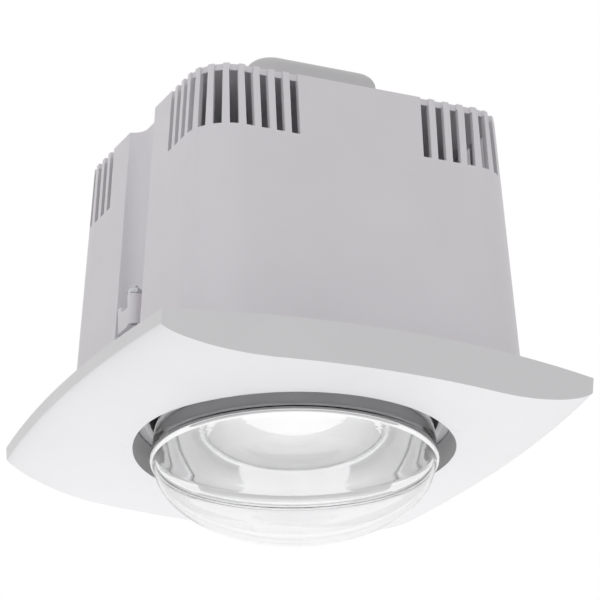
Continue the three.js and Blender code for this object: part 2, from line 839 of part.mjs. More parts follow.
const boxRing = (z, inset) => ({
  points: roundedOutline(
    terminalCoverHalfWidth - inset, terminalCoverHalfDepth - inset, terminalCoverCorner - inset,
  ),
  z,
});
const boxTop = coverLow + terminalCoverHeight;
const boxBody = loft([boxRing(coverLow, 0), boxRing(boxTop, 0)]).translate(0, terminalCentre, 0);
const boxHollow = loft([
  boxRing(coverLow - cutOverrun, terminalCoverWall),
  boxRing(boxTop - terminalCoverWall, terminalCoverWall),
]).translate(0, terminalCentre, 0);
const grommetY = terminalCentre + terminalCoverHalfDepth - terminalCoverWall / 2;
const grommetZ = housingHeight + grommetHeight;
const grommetHole = new THREE.CylinderGeometry(
  grommetNeckRadius + boreGap, grommetNeckRadius + boreGap, terminalCoverHalfDepth / 2, middleRound,
).translate(0, grommetY, grommetZ);
const ears = sides.map((side) => box(
  terminalEarLength + terminalCoverWall, terminalEarLength, terminalEarThickness,
  side * (terminalEarPlace - terminalCoverWall / 2), terminalCentre, coverLow + terminalEarThickness / 2,
));
const earHoles = sides.map((side) => prism(
  circle(screwRadius + boreGap, holeRound, side * terminalEarPlace, terminalCentre),
  coverLow - cutOverrun, coverLow + terminalEarThickness + cutOverrun,
));
const coverCuts = [boxHollow, ...leadHoles, grommetHole, ...earHoles];
const terminalCover = cut(join(toSolid(boxBody), ears), coverCuts);
add("terminal_cover", toGeometry(terminalCover), coverPlastic);
sides.forEach((side) => {
  const word = side < 0 ? "left" : "right";
  const mesh = add(`terminal_cover_screw_${word}`, toGeometry(plainScrew), zincSteel);
  mesh.rotation.x = halfTurn;
  mesh.position.set(side * terminalEarPlace, terminalCentre, coverLow + terminalEarThickness + fitGap);
});

const seat = terminalCoverWall / 2 + fitGap;
const grommet = turned([
  [grommetBore, -seat - grommetFlange],
  [grommetFlangeRadius, -seat - grommetFlange],
  [grommetFlangeRadius, -seat],
  [grommetNeckRadius, -seat],
  [grommetNeckRadius, seat],
  [grommetFlangeRadius, seat],
  [grommetFlangeRadius, seat + grommetFlange],
  [grommetBore, seat + grommetFlange],
], middleRound);
add("cable_grommet", grommet.rotateX(quarterTurn), rubber).position.set(0, grommetY, grommetZ);

sides.forEach((side) => {
  const start = Math.sqrt(holderHeadRadius ** 2 - (leadOffset - leadRadius) ** 2) + fitGap;
  const end = terminalCentre - terminalBlockDepth / 2 - fitGap;
  const lead = new THREE.CylinderGeometry(leadRadius, leadRadius, end - start, holeRound);
  const insulation = side < 0 ? leadInsulation : neutralInsulation;
  const mesh = add(side < 0 ? "lead_live" : "lead_neutral", lead, insulation);
  mesh.position.set(side * leadOffset, (start + end) / 2, leadZ);
});

// Infrared lamp

const lamp = new THREE.Group();
heater.add(lamp);

function lampRadiusAt(bodyShare) {
  return lampNeckRadius + (lampRadius - lampNeckRadius) * Math.cos(bodyShare * quarterTurn) ** lampBodyPower;
}

const bodyShares = [mirrorStartShare];
for (let step = 1; step <= bodySteps; step += 1) {
  bodyShares.push(step / bodySteps);
}

function glassLine(inset) {
  const line = [];
  for (let step = 0; step <= domeSteps; step += 1) {
    const angle = quarterTurn * step / domeSteps;
    line.push([
      (lampRadius - inset) * Math.sin(angle),
      lampEquator - (lampDomeDepth - inset) * Math.cos(angle),
    ]);
  }
  bodyShares.forEach((share) => {
    line.push([lampRadiusAt(share) - inset, lampEquator + lampBodyHeight * share]);
  });
  line.push([lampCollarRadius - inset, lampCollarHeight]);
  line.push([lampCollarRadius - inset, lampRimHeight]);
  return line;
}

const glassProfile = [...glassLine(0), ...glassLine(lampGlass).reverse()];
add("lamp_glass", turned(glassProfile, fineRound), clearGlass, lamp);

const mirrorLine = (inset) => bodyShares.slice(0, -1).map((share) => [
  lampRadiusAt(share) - lampGlass - fitGap - inset,
  lampEquator + lampBodyHeight * share,
]);
const mirrorProfile = [...mirrorLine(0), ...mirrorLine(mirrorThickness).reverse()];
add("lamp_reflector", turned(mirrorProfile, fineRound), silver, lamp);

add("lamp_stem", turned([
  [0, stemBottom],
  [stemRadius, stemBottom],
  [stemRadius, stemWaist],
  [stemFlareRadius, stemFlareHeight],
  [stemFlareRadius, stemTop],
  [0, stemTop],
], middleRound), clearGlass, lamp);

const wireX = filamentHalf + fitGap + wireRadius;
const wireTop = stemBottom - fitGap - wireRadius;
sides.forEach((side) => {
  const path = new THREE.QuadraticBezierCurve3(
    new THREE.Vector3(side * wireStart, 0, wireTop),
    new THREE.Vector3(side * wireX, 0, wireTop),
    new THREE.Vector3(side * wireX, 0, filamentHeight - filamentSag),
  );
  const word = side < 0 ? "left" : "right";
  add(`lamp_lead_wire_${word}`, tube(path, wireRadius, wireSides, wireSteps), zincSteel, lamp);
});

// A coil that curls round a shallow arc between the two lead wires.
class Coil extends THREE.Curve {
  getPoint(t, target = new THREE.Vector3()) {
    const curl = fullTurn * filamentTurns * t;
    const radius = filamentCoil * Math.sqrt(Math.sin(halfTurn * t));
    const sag = filamentSag * Math.sin(halfTurn * t);
    return target.set(
      filamentHalf * (2 * t - 1),
      radius * Math.sin(curl),
      filamentHeight - sag + radius * (1 - Math.cos(curl)),
    );
  }
}

const filament = tube(new Coil(), filamentWire, coilSides, filamentTurns * coilSteps);
add("lamp_filament", filament, tungsten, lamp);

function capLine(inset) {
  const line = [
    [capRadius + capRidge - inset, capBottom],
    [capRadius + capRidge - inset, capSkirtTop],
  ];
  for (let step = 1; step <= capThreads * 2; step += 1) {
    const ridge = step % 2 === 0 ? capRidge : -capRidge;
    line.push([capRadius + ridge - inset, capSkirtTop + step * capPitch / 2]);
  }
  line.push([capShoulderRadius - inset, capSkirtTop + capThreads * capPitch + capShoulderHeight]);
  return line;
}

add("lamp_cap_shell", turned([...capLine(0), ...capLine(capWall).reverse()], middleRound), brass, lamp);

const capEnd = capSkirtTop + capThreads * capPitch + capShoulderHeight;
const insulatorRadius = capShoulderRadius - capWall - fitGap;
const insulatorHigh = contactTop - insulatorTip;
add("lamp_cap_insulator", turned([
  [0, capEnd - insulatorDrop],
  [insulatorRadius, capEnd - insulatorDrop],
  [insulatorRadius, capEnd + insulatorRise],
  [insulatorTipRadius, insulatorHigh],
  [0, insulatorHigh],
], middleRound), blackGlass, lamp);
add("lamp_cap_contact", turned([
  [0, insulatorHigh + fitGap],
  [contactRadius, insulatorHigh + fitGap],
  [contactRadius - contactChamfer, contactTop],
  [0, contactTop],
], middleRound), zincSteel, lamp);

// Ceiling clamps: the right one is the left one turned half round the lamp axis

sides.forEach((side) => {
  const word = side < 0 ? "left" : "right";
  const clamp = new THREE.Group();
  clamp.position.set(side * clampAxis, 0, 0);
  clamp.rotation.z = side < 0 ? 0 : halfTurn;
  heater.add(clamp);

  const seatZ = -flangeThickness - fitGap;
  const bolt = screw(clampHeadRadius, clampHeadHeight, clampScrewRadius, clampScrewTop - seatZ);
  add(`clamp_screw_${word}`, toGeometry(bolt), zincSteel, clamp).position.set(0, 0, seatZ);

  const bore = circle(clampScrewRadius + boreGap, holeRound);
  const nutLow = jawTop + fitGap;
  const nut = toSolid(prism(circle(nutRadius, sidesOfNut), nutLow, nutLow + nutHeight));
  const nutBore = prism(bore, nutLow - cutOverrun, nutLow + nutHeight + cutOverrun);
  add(`clamp_nut_${word}`, toGeometry(cut(nut, [nutBore])), zincSteel, clamp);

  const sleeve = toSolid(prism(circle(jawSleeveRadius, coarseRound), jawBottom, jawTop));
  const footTop = jawBottom + jawFootHeight;
  const foot = sideways([
    [0, jawBottom],
    [jawFootReach, jawBottom],
    [jawFootReach, footTop + jawLipHeight],
    [jawFootReach - jawLipWidth, footTop + jawLipHeight],
    [jawFootReach - jawLipWidth - jawLipSlope, footTop],
    [0, footTop],
  ], jawFootWidth);
  const jaw = cut(join(sleeve, [foot]), [prism(bore, jawBottom - cutOverrun, jawTop + cutOverrun)]);
  add(`clamp_jaw_${word}`, toGeometry(jaw), clampPlastic, clamp);
});

export default heater;
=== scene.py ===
import math

import bpy
from bpy.props import FloatProperty, FloatVectorProperty, IntProperty, PointerProperty
from mathutils import Matrix, Vector


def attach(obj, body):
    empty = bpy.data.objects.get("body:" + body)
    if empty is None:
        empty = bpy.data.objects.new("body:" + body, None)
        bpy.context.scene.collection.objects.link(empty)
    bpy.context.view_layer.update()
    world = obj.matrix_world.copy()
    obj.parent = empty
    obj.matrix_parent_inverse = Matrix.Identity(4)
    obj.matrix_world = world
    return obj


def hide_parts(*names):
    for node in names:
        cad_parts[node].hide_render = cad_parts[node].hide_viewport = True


bl_info = {
    "name": "Bathroom ceiling heater",
    "version": (1, 0, 0),
    "blender": (4, 5, 0),
    "location": "3D View > Sidebar > Heater",
    "description": "Models and finishes a recessed ceiling heater with one infrared lamp",
    "category": "Object",
}

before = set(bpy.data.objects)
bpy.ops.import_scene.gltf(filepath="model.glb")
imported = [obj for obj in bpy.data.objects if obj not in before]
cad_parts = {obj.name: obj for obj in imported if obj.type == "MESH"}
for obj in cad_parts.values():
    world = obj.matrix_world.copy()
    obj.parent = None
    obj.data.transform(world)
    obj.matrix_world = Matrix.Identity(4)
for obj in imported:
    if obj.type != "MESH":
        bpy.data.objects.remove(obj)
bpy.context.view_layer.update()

QUARTER_TURN = math.pi / 2
FULL_TURN = 2 * math.pi
MILLIMETRE = 0.001
MERGE_DISTANCE = 2e-6
SIDES = (-1, 1)
SIDE_WORDS = ((-1, "left"), (1, "right"))
CORNERS = ((-1, -1), (-1, 1), (1, -1), (1, 1))

# Facets round a full circle, from the large openings down to the screws.
OPENING_FACETS = 160
LAMP_FACETS = 128
CAP_FACETS = 96
STEM_FACETS = 64
SLEEVE_FACETS = 48
NOTCH_FACETS = 40
POST_FACETS = 32
HOLE_FACETS = 24
SCREW_FACETS = 20

# Steps round one rounded upright corner.
HOUSING_CORNER = 20
FLANGE_CORNER = 16
COVER_CORNER = 12
PLATE_CORNER = 10
EAR_CORNER = 6

# Fascia: its grid, the share of the grid that stays flat, how its underside falls away towards the
# sides, and how often width and depth are worked out from one another.
FASCIA_GRID = (96, 64)
FLAT_SHARE = 0.35
UNDERSIDE_FALL = 0.75
SETTLING_ROUNDS = 12

# Lamp: how long its body stays wide, how it narrows to the neck, how much of the bead's lower half is
# silvered, and how far the silver's two faces lie from the glass, as shares of the glass's thickness.
SHOULDER = 2.2
NARROWING = 2.6
SILVERED_BEAD = 0.9
SILVER_FACE = 0.1
SILVER_BACK = 0.25

# Stem, lead wires and filament.
STEM_STEPS = 12
FLARE_CURVE = 1.6
COIL_STEPS = 16

# Screws: steps and height of the head's crown, and rings to one turn of the thread. Nut: how steeply its
# corners are turned off.
CROWN_STEPS = 8
CROWN_SHARE = 0.65
SCREW_RINGS = 6
NUT_SLOPE = 1.2

# Rolled sheet: rings up the lampholder's shell, rings to one turn of the cap's thread, and the depth of
# the lampholder's thread as a share of its sheet.
SHELL_RINGS = 48
CAP_RINGS = 16
SHELL_ROLL = 0.3


def length(name, description, millimetres):
    """A size that the user may change, kept in metres."""
    size = millimetres * MILLIMETRE
    return FloatProperty(
        name=name, description=description, default=size, unit="LENGTH", subtype="DISTANCE", precision=4
    )


def colour(name, description, value):
    """A colour that the user may change."""
    return FloatVectorProperty(
        name=name, description=description, default=value, size=3, min=0, max=1, subtype="COLOR"
    )


def share(name, description, value):
    """A number from 0 to 1."""
    return FloatProperty(name=name, description=description, default=value, min=0, max=1, subtype="FACTOR")


def count(name, description, value):
    """A whole number of parts or facets."""
    return IntProperty(name=name, description=description, default=value, min=1)


def corner_word(sign_x, sign_y):
    """The name of one corner."""
    return f"{'front' if sign_y < 0 else 'back'}_{'left' if sign_x < 0 else 'right'}"


class HousingSizes(bpy.types.PropertyGroup):
    """Sizes of the housing shell."""

    half_width: length("Half width", "Half the width at the ceiling", 79.8)
    half_depth: length("Half depth", "Half the depth at the ceiling", 80.2)
    height: length("Height", "Height above the ceiling", 126.3)
    draft_side: length("Draft, sides", "How far a side wall leans in over the height", 8.2)
    draft_front: length("Draft, front", "How far the front and back walls lean in over the height", 10.4)
    wall: length("Wall", "Thickness of the walls and the top", 2.5)
    corner_low: length("Corner, low", "Radius of the upright corners at the ceiling", 25)
    corner_high: length("Corner, high", "Radius of the upright corners at the top", 17.5)
    flange_half_width: length("Flange half width", "Half the width of the flange", 90)
    flange_half_depth: length("Flange half depth", "Half the depth of the flange", 88.6)
    flange_corner: length("Flange corner", "Radius of the flange's corners", 26)
    flange_thickness: length("Flange thickness", "Thickness of the flange", 3)
    channel_half_width: length("Channel half width", "Half the width of a clamp channel", 14.3)
    channel_floor: length("Channel floor", "Distance of a channel's floor from the lamp axis", 66)
    channel_corner: length("Channel corner", "Radius of a channel's inner corners", 7)
    channel_wall: length("Channel wall", "Thickness of the wall behind a channel", 2)
    slot_start_front: length("Slot start, front", "First slot's distance from the middle of the front", 29.1)
    slot_start_side: length("Slot start, side", "Last slot's distance from the middle of the side", 32.8)
    slot_width: length("Slot width", "Width of a vent slot", 3.9)
    slot_count: count("Slots", "Number of slots round one corner", 11)
    slot_bottom: length("Slot bottom", "Height of the slots' lower ends", 97.2)
    slot_top: length("Slot top", "Height of the slots' upper ends", 123.5)
    groove_depth: length("Groove depth", "Depth of the grooves above the slots", 1.3)
    edge: length("Edge", "Rounding of the moulded edges", 0.5)


class FasciaSizes(bpy.types.PropertyGroup):
    """Sizes of the fascia."""

    half_width: length("Half width", "Half the width at the corners", 98.9)
    half_depth: length("Half depth", "Half the depth at the corners", 88.8)
    bulge_front: length("Front bulge", "How far the front and back edges bow out", 16.1)
    bulge_side: length("Side bulge", "How far the side edges bow out", 6.5)
    depth: length("Depth", "Depth below the ceiling", 16.7)
    edge_depth: length("Edge depth", "Depth of the side edges", 6)
    flat_half: length("Flat half", "Half the width of the flat middle", 50)
    rim_inset: length("Rim inset", "How far the front and back rims lean in", 4)
    wall: length("Wall", "Thickness of the plate", 2.5)
    opening: length("Opening", "Radius of the lamp opening", 69.8)
    collar_top: length("Collar top", "Radius of the collar at its top", 67.8)
    collar_height: length("Collar height", "Depth at which the collar ends", 4.9)
    collar_wall: length("Collar wall", "Thickness of the collar", 2.2)
    edge: length("Edge", "Rounding of the plate's edges", 0.7)


class LampSizes(bpy.types.PropertyGroup):
    """Sizes of the infrared lamp."""

    radius: length("Radius", "Radius at the widest ring", 62.5)
    equator: length("Widest ring", "Depth of the widest ring below the ceiling", 21.2)
    dome_depth: length("Dome depth", "Depth of the front dome", 33.6)
    glass: length("Glass", "Thickness of the glass", 1)
    body_height: length("Body height", "Height of the silvered body", 95)
    neck_radius: length("Neck radius", "Radius of the neck", 19)
    collar_radius: length("Collar radius", "Radius of the glass inside the cap", 12.2)
    collar_low: length("Collar, low", "Height at which the glass enters the cap", 95.9)
    collar_top: length("Collar, top", "Height of the glass rim inside the cap", 103.1)
    bead: length("Bead", "Radius of the rolled bead at the widest ring", 3.2)
    bead_out: length("Bead, out", "How far the bead stands out over the dome", 1.3)
    silver_end: share("Silver end", "Share of the body above which the glass is clear", 0.875)


class ShieldSizes(bpy.types.PropertyGroup):
    """Sizes of the heat shield."""

    half_width: length("Half width", "Half the width of the plate", 72.5)
    half_depth: length("Half depth", "Half the depth of the plate", 72.9)
    corner: length("Corner", "Radius of the plate's corners", 9)
    low: length("Plate, low", "Depth of the plate's underside below the ceiling", 4.3)
    thickness: length("Thickness", "Thickness of the plate", 1)
    mouth: length("Mouth", "Radius of the hole at the plate", 64.5)
    throat: length("Throat", "Radius of the cone where it leaves the plate", 62.4)
    top_radius: length("Top radius", "Radius of the cone at its top", 44.5)
    top: length("Top", "Height of the cone's top", 62)
    wall: length("Wall", "Thickness of the cone", 0.8)
    notch: length("Notch", "Radius of the notches for the clamp screws", 5.2)
    screw_x: length("Screw, across", "Distance of the screws from the middle, across", 68.235)
    screw_y: length("Screw, along", "Distance of the screws from the middle, front to back", 68.635)
    post_radius: length("Post", "Radius of the housing's screw posts", 4.5)
    post_height: length("Post height", "Height of the screw posts", 15)


class ScrewSizes(bpy.types.PropertyGroup):
    """Sizes of the small screws."""

    head_radius: length("Head radius", "Radius of the head", 3)
    head_height: length("Head height", "Height of the head", 2)
    radius: length("Radius", "Radius over the thread", 1.5)
    length: length("Length", "Length under the head", 11)
    pitch: length("Pitch", "Rise of the thread in one turn", 1.2)
    thread: length("Thread", "Depth of the thread", 0.2)
    tip: length("Tip", "Length of the tapered tip", 0.8)
    slot_width: length("Slot width", "Width of the driver slot", 0.9)
    slot_depth: length("Slot depth", "Depth of the driver slot", 1)
    room: length("Room", "Play round a screw and under its head", 0.3)


class HolderSizes(bpy.types.PropertyGroup):
    """Sizes of the lampholder, its strap and its contacts."""

    hang: length("Hang", "How far the skirt reaches below the housing's top", 31.2)
    radius: length("Radius", "Radius of the skirt", 19.7)
    bore: length("Bore", "Radius of the bore", 14.5)
    roof: length("Roof", "Height of the bore's roof above the housing's top", 1.4)
    flange_radius: length("Flange", "Radius of the flange", 22)
    flange_height: length("Flange height", "Thickness of the flange", 3)
    head_radius: length("Head", "Radius of the head", 16)
    rise: length("Rise", "Height of the head above the housing's top", 22.8)
    hole: length("Hole", "Radius of the hole in the housing's top", 20.2)
    shell_radius: length("Shell", "Outer radius of the screw shell", 14.1)
    shell_wall: length("Shell wall", "Thickness of the screw shell", 0.5)
    shell_low: length("Shell, low", "Lower end of the shell above the skirt's end", 3)
    shell_height: length("Shell height", "Height of the screw shell", 25)
    spring_length: length("Spring length", "Length of the contact spring", 14)
    spring_width: length("Spring width", "Width of the contact spring", 4)
    spring_thickness: length("Spring thickness", "Thickness of the contact spring", 0.6)
    strap_half_length: length("Strap length", "Half the length of the strap", 28)
    strap_half_width: length("Strap width", "Half the width of the strap's ears", 6)
    strap_ring: length("Strap ring", "Radius of the strap's ring", 19.5)
    strap_thickness: length("Strap thickness", "Thickness of the strap", 1.5)
    strap_screw: length("Strap screws", "Distance of the strap's screws from the axis", 25)


class CoverSizes(bpy.types.PropertyGroup):
    """Sizes of the two covers on the housing's top."""

    half_width: length("Half width", "Half the width of the lampholder cover", 30.5)
    half_depth: length("Half depth", "Half the depth of the lampholder cover", 31.5)
    corner: length("Corner", "Radius of its upright corners", 11)
    rise: length("Rise", "Height of its top above the housing's top", 28)
    wall: length("Wall", "Thickness of its wall", 2)
    top_round: length("Top rounding", "Rounding of its top edge", 5)
    post_place: length("Post place", "Distance of its posts from the axis, both ways", 21.5)
    post_radius: length("Post radius", "Radius of its posts", 3.6)
    box_half_width: length("Box half width", "Half the width of the terminal cover", 26)
    box_half_depth: length("Box half depth", "Half the depth of the terminal cover", 14)
    box_height: length("Box height", "Height of the terminal cover", 22)
    box_corner: length("Box corner", "Radius of its upright corners", 3)
    box_wall: length("Box wall", "Thickness of its wall", 1.8)
    box_round: length("Box rounding", "Rounding of its top edge", 1.5)
    ear_length: length("Ear length", "Length of its screw ears", 9)
    ear_thickness: length("Ear thickness", "Thickness of its screw ears", 2)


class TerminalSizes(bpy.types.PropertyGroup):
    """Sizes of the terminal block, the grommet and the leads."""

    width: length("Width", "Width of the block", 40)
    depth: length("Depth", "Depth of the block", 14)
    height: length("Height", "Height of the block", 14)
    poles: count("Poles", "Number of terminals", 3)
    pitch: length("Pitch", "Distance between terminals", 12)
    well_radius: length("Well radius", "Radius of a screw well", 2.6)
    well_depth: length("Well depth", "Depth of a screw well", 7)
    screw_radius: length("Screw radius", "Radius of a terminal screw", 2.3)
    screw_height: length("Screw height", "Height of a terminal screw", 5)
    lead_radius: length("Lead radius", "Radius of a lead", 1.2)
    lead_offset: length("Lead offset", "Distance of a lead from the middle", 6)
    lead_height: length("Lead height", "Height of the leads above the housing's top", 9)
    grommet_flange: length("Grommet flange", "Radius of the grommet's flanges", 7)
    grommet_neck: length("Grommet neck", "Radius of the grommet's neck", 5)
    grommet_bore: length("Grommet bore", "Radius of the grommet's bore", 3.4)
    grommet_lip: length("Grommet lip", "Thickness of a grommet flange", 1.5)
    grommet_height: length("Grommet height", "Height of the grommet above the housing's top", 11)


class ClipSizes(bpy.types.PropertyGroup):
    """Sizes of the fascia's spring clips and their pockets."""

    offset: length("Offset", "Distance of a clip from the middle", 36)
    place: length("Place", "Distance of a clip from the lamp axis, front to back", 74.8)
    width: length("Width", "Width of a clip", 10)
    thickness: length("Thickness", "Thickness of the strip", 0.8)
    low: length("Low end", "Depth of the lower end", 13.9)
    straight: length("Straight end", "Depth at which the bow begins", 2)
    bow: length("Bow", "How far the strip bows out", 1.5)
    bow_height: length("Bow height", "Height of the bow", 8)
    tip_in: length("Tip", "How far the tip leans in", 0.4)
    top: length("Top", "Height of the tip", 20)
    pocket_wall: length("Pocket wall", "Thickness of a pocket's wall", 1.5)
    pocket_height: length("Pocket height", "Height of a pocket", 6)


class ClampSizes(bpy.types.PropertyGroup):
    """Sizes of the ceiling clamps."""

    axis: length("Axis", "Distance of a clamp's axis from the lamp axis", 74.6)
    head_radius: length("Head radius", "Radius of the screw's head", 3.8)
    head_height: length("Head height", "Height of the screw's head", 2.4)
    radius: length("Radius", "Radius of the screw", 1.5)
    seat: length("Seat", "Depth of the head's seat below the ceiling", 3.3)
    screw_top: length("Screw top", "Height of the screw's tip", 47.4)
    hole: length("Hole", "Radius of the screw's hole in the flange", 2.1)
    pitch: length("Pitch", "Rise of the thread in one turn", 1.3)
    jaw_low: length("Jaw, low", "Height of the jaw's underside", 29.3)
    jaw_high: length("Jaw, high", "Height of the sleeve's top", 43)
    sleeve: length("Sleeve", "Radius of the jaw's sleeve", 3.2)
    foot_width: length("Foot width", "Width of the foot", 5)
    foot_reach: length("Foot reach", "Reach of the foot from the axis", 13.4)
    foot_height: length("Foot height", "Height of the foot", 8.7)
    lip_width: length("Lip width", "Width of the foot's lip", 3)
    lip_height: length("Lip height", "Height of the foot's lip", 3)
    lip_slope: length("Lip slope", "Run of the slope under the lip", 1.4)
    nut_radius: length("Nut radius", "Radius over the nut's corners", 3)
    nut_height: length("Nut height", "Height of the nut", 2.4)


class LampInsideSizes(bpy.types.PropertyGroup):
    """Sizes of the lamp's cap, stem and filament."""

    cap_radius: length("Cap radius", "Middle radius of the cap's thread", 12.6)
    cap_ridge: length("Cap ridge", "Height of a thread ridge over that radius", 0.5)
    cap_pitch: length("Cap pitch", "Rise of the cap's thread in one turn", 3.63)
    cap_turns: count("Cap turns", "Turns of the cap's thread", 3)
    cap_wall: length("Cap wall", "Thickness of the cap's sheet", 0.5)
    cap_low: length("Cap, low", "Height of the cap's lower end", 96.5)
    cap_skirt: length("Cap skirt", "Height of the plain skirt", 7.6)
    shoulder_radius: length("Shoulder radius", "Radius at the cap's shoulder", 9)
    shoulder_height: length("Shoulder height", "Height of the shoulder", 2.4)
    insulator_drop: length("Insulator drop", "How far the black glass reaches into the cap", 1.8)
    insulator_rise: length("Insulator rise", "How far its cylinder stands above the cap", 1.2)
    insulator_tip: length("Insulator tip", "Distance of its top below the contact's face", 2.3)
    insulator_tip_radius: length("Insulator tip radius", "Radius of its top", 5.2)
    contact_radius: length("Contact radius", "Radius of the centre contact", 4.8)
    contact_top: length("Contact top", "Height of the contact's face", 125.1)
    stem_radius: length("Stem radius", "Radius of the stem", 4)
    stem_flare_radius: length("Stem flare", "Radius of the stem's flare", 10.8)
    stem_low: length("Stem, low", "Height of the stem's lower end", 61.1)
    stem_waist: length("Stem waist", "Height at which the flare begins", 85.1)
    stem_flare_height: length("Flare height", "Height of the flare's rim", 99.1)
    stem_disc: length("Stem disc", "Height of the disc above the flare", 3)
    wire_radius: length("Wire radius", "Radius of a lead wire", 0.6)
    wire_start: length("Wire start", "Distance of a lead wire from the axis at the stem", 2.4)
    filament_half: length("Filament length", "Half the length of the filament", 16)
    filament_height: length("Filament height", "Height of the filament's ends", 26)
    filament_coil: length("Filament coil", "Radius of the filament's coil", 1.9)
    filament_wire: length("Filament wire", "Radius of the filament's wire", 0.35)
    filament_turns: count("Filament turns", "Turns of the coil", 10)
    filament_sag: length("Filament sag", "Sag of the filament's middle", 3)


class FinishColours(bpy.types.PropertyGroup):
    """Colours of the finishes."""

    housing: colour("Housing", "Moulded plastic of the housing", (0.81, 0.79, 0.82))
    fascia: colour("Fascia", "Moulded plastic of the fascia", (0.83, 0.82, 0.835))
    cover: colour("Covers", "Moulded plastic of the two covers", (0.6, 0.59, 0.6))
    clamp: colour("Clamps", "Moulded plastic of the clamp jaws", (0.81, 0.79, 0.82))


class StageSettings(bpy.types.PropertyGroup):
    """Light and camera."""

    daylight: share("Surrounding light", "Strength of the light from all sides", 0.56)
    floor_drop: length("Floor", "Depth of the floor below the ceiling plane", 1300)


SETTINGS = {
    "heater_housing": HousingSizes,
    "heater_fascia": FasciaSizes,
    "heater_clip": ClipSizes,
    "heater_shield": ShieldSizes,
    "heater_screw": ScrewSizes,
    "heater_holder": HolderSizes,
    "heater_cover": CoverSizes,
    "heater_terminal": TerminalSizes,
    "heater_lamp": LampSizes,
    "heater_lamp_inside": LampInsideSizes,
    "heater_clamp": ClampSizes,
    "heater_finish": FinishColours,
    "heater_stage": StageSettings,
}


# Modelling steps


def clear_selection():
    """Leaves edit mode and deselects everything."""
    if bpy.context.object and bpy.context.object.mode != "OBJECT":
        bpy.ops.object.mode_set(mode="OBJECT")
    bpy.ops.object.select_all(action="DESELECT")


def choose(piece):
    """Makes one object the only chosen one."""
    clear_selection()
    piece.select_set(True)
    bpy.context.view_layer.objects.active = piece


def settle(piece, name):
    """Puts the object's place into its mesh and names it."""
    choose(piece)
    bpy.ops.object.transform_apply(location=True, rotation=True, scale=True)
    piece.name = name
    piece.data.name = name
    return piece


def edit_all(piece):
    """Enters edit mode with the whole mesh selected."""
    choose(piece)
    bpy.ops.object.mode_set(mode="EDIT")
    bpy.ops.mesh.select_mode(type="VERT")
    bpy.ops.mesh.select_all(action="SELECT")


def outward(piece):
    """Merges doubled points and turns all faces outwards."""
    edit_all(piece)
    bpy.ops.mesh.remove_doubles(threshold=MERGE_DISTANCE)
    bpy.ops.mesh.normals_make_consistent(inside=False)
    bpy.ops.object.mode_set(mode="OBJECT")
    return piece


def drawn_line(points):
    """A line of edges through the points, in edit mode, all selected."""
    clear_selection()
    bpy.ops.mesh.primitive_plane_add(size=MILLIMETRE, location=(0, 0, 0))
    edit_all(bpy.context.object)
    bpy.ops.mesh.merge(type="CENTER")
    bpy.ops.transform.translate(value=points[0])
    for here, there in zip(points, points[1:]):
        step = tuple(b - a for a, b in zip(here, there))
        bpy.ops.mesh.extrude_vertices_move(TRANSFORM_OT_translate={"value": step})
    bpy.ops.mesh.select_all(action="SELECT")


def turned(name, profile, facets, closed=False):
    """Spins a profile of (radius, height) pairs round the Z axis."""
    points = [(radius, 0, height) for radius, height in profile]
    drawn_line([*points, points[0]] if closed else points)
    bpy.ops.mesh.spin(steps=facets, angle=FULL_TURN, center=(0, 0, 0), axis=(0, 0, 1))
    bpy.ops.object.mode_set(mode="OBJECT")
    return outward(settle(bpy.context.object, name))


def rounded_plate(half_x, half_y, corner, low, segments):
    """A flat rounded rectangle in edit mode, all selected."""
    clear_selection()
    bpy.ops.mesh.primitive_plane_add(size=1, location=(0, 0, low))
    piece = bpy.context.object
    edit_all(piece)
    bpy.ops.transform.resize(value=(2 * half_x, 2 * half_y, 1), center_override=(0, 0, low))
    if corner > 0:
        bpy.ops.mesh.bevel(affect="VERTICES", offset=corner, segments=segments)
        bpy.ops.mesh.select_all(action="SELECT")
    return piece


def rounded_block(name, low_plan, high_plan, low, high, segments=COVER_CORNER):
    """A rounded block between two heights, each with its plan (half width, half depth, corner)."""
    piece = rounded_plate(*low_plan, low, segments)
    bpy.ops.mesh.extrude_region_move(TRANSFORM_OT_translate={"value": (0, 0, high - low)})
    bpy.ops.object.mode_set(mode="OBJECT")
    settle(piece, name)
    corner, new_corner = low_plan[2], high_plan[2]
    for point in piece.data.vertices:
        if point.co.z > (low + high) / 2:
            for axis in (0, 1):
                straight = low_plan[axis] - corner
                new_straight = high_plan[axis] - new_corner
                reach = abs(point.co[axis])
                if reach > straight:
                    reach = new_straight + (reach - straight) * new_corner / corner
                else:
                    reach *= new_straight / straight
                point.co[axis] = math.copysign(reach, point.co[axis])
    return outward(piece)


def rod(name, radius, low, high, place=(0, 0), facets=HOLE_FACETS):
    """An upright round bar."""
    clear_selection()
    bpy.ops.mesh.primitive_cylinder_add(
        vertices=facets, radius=radius, depth=high - low, location=(*place, (low + high) / 2)
    )
    return settle(bpy.context.object, name)


def block(name, size, centre, turn=0):
    """A plain block, turned about its own upright axis."""
    clear_selection()
    bpy.ops.mesh.primitive_cube_add(size=1, location=centre, rotation=(0, 0, turn))
    piece = bpy.context.object
    piece.scale = size
    return settle(piece, name)


def together(name, pieces):
    """Joins several objects into one."""
    clear_selection()
    for piece in pieces:
        piece.select_set(True)
    bpy.context.view_layer.objects.active = pieces[0]
    bpy.ops.object.join()
    return settle(bpy.context.object, name)


def carve(piece, tool, operation="DIFFERENCE"):
    """Cuts, joins or intersects a piece with a tool body and removes the tool."""
    choose(piece)
    modifier = piece.modifiers.new("carve", "BOOLEAN")
    modifier.operation = operation
    modifier.solver = "EXACT"
    modifier.object = tool
    bpy.ops.object.modifier_apply(modifier=modifier.name)
    bpy.data.objects.remove(tool)
    return piece


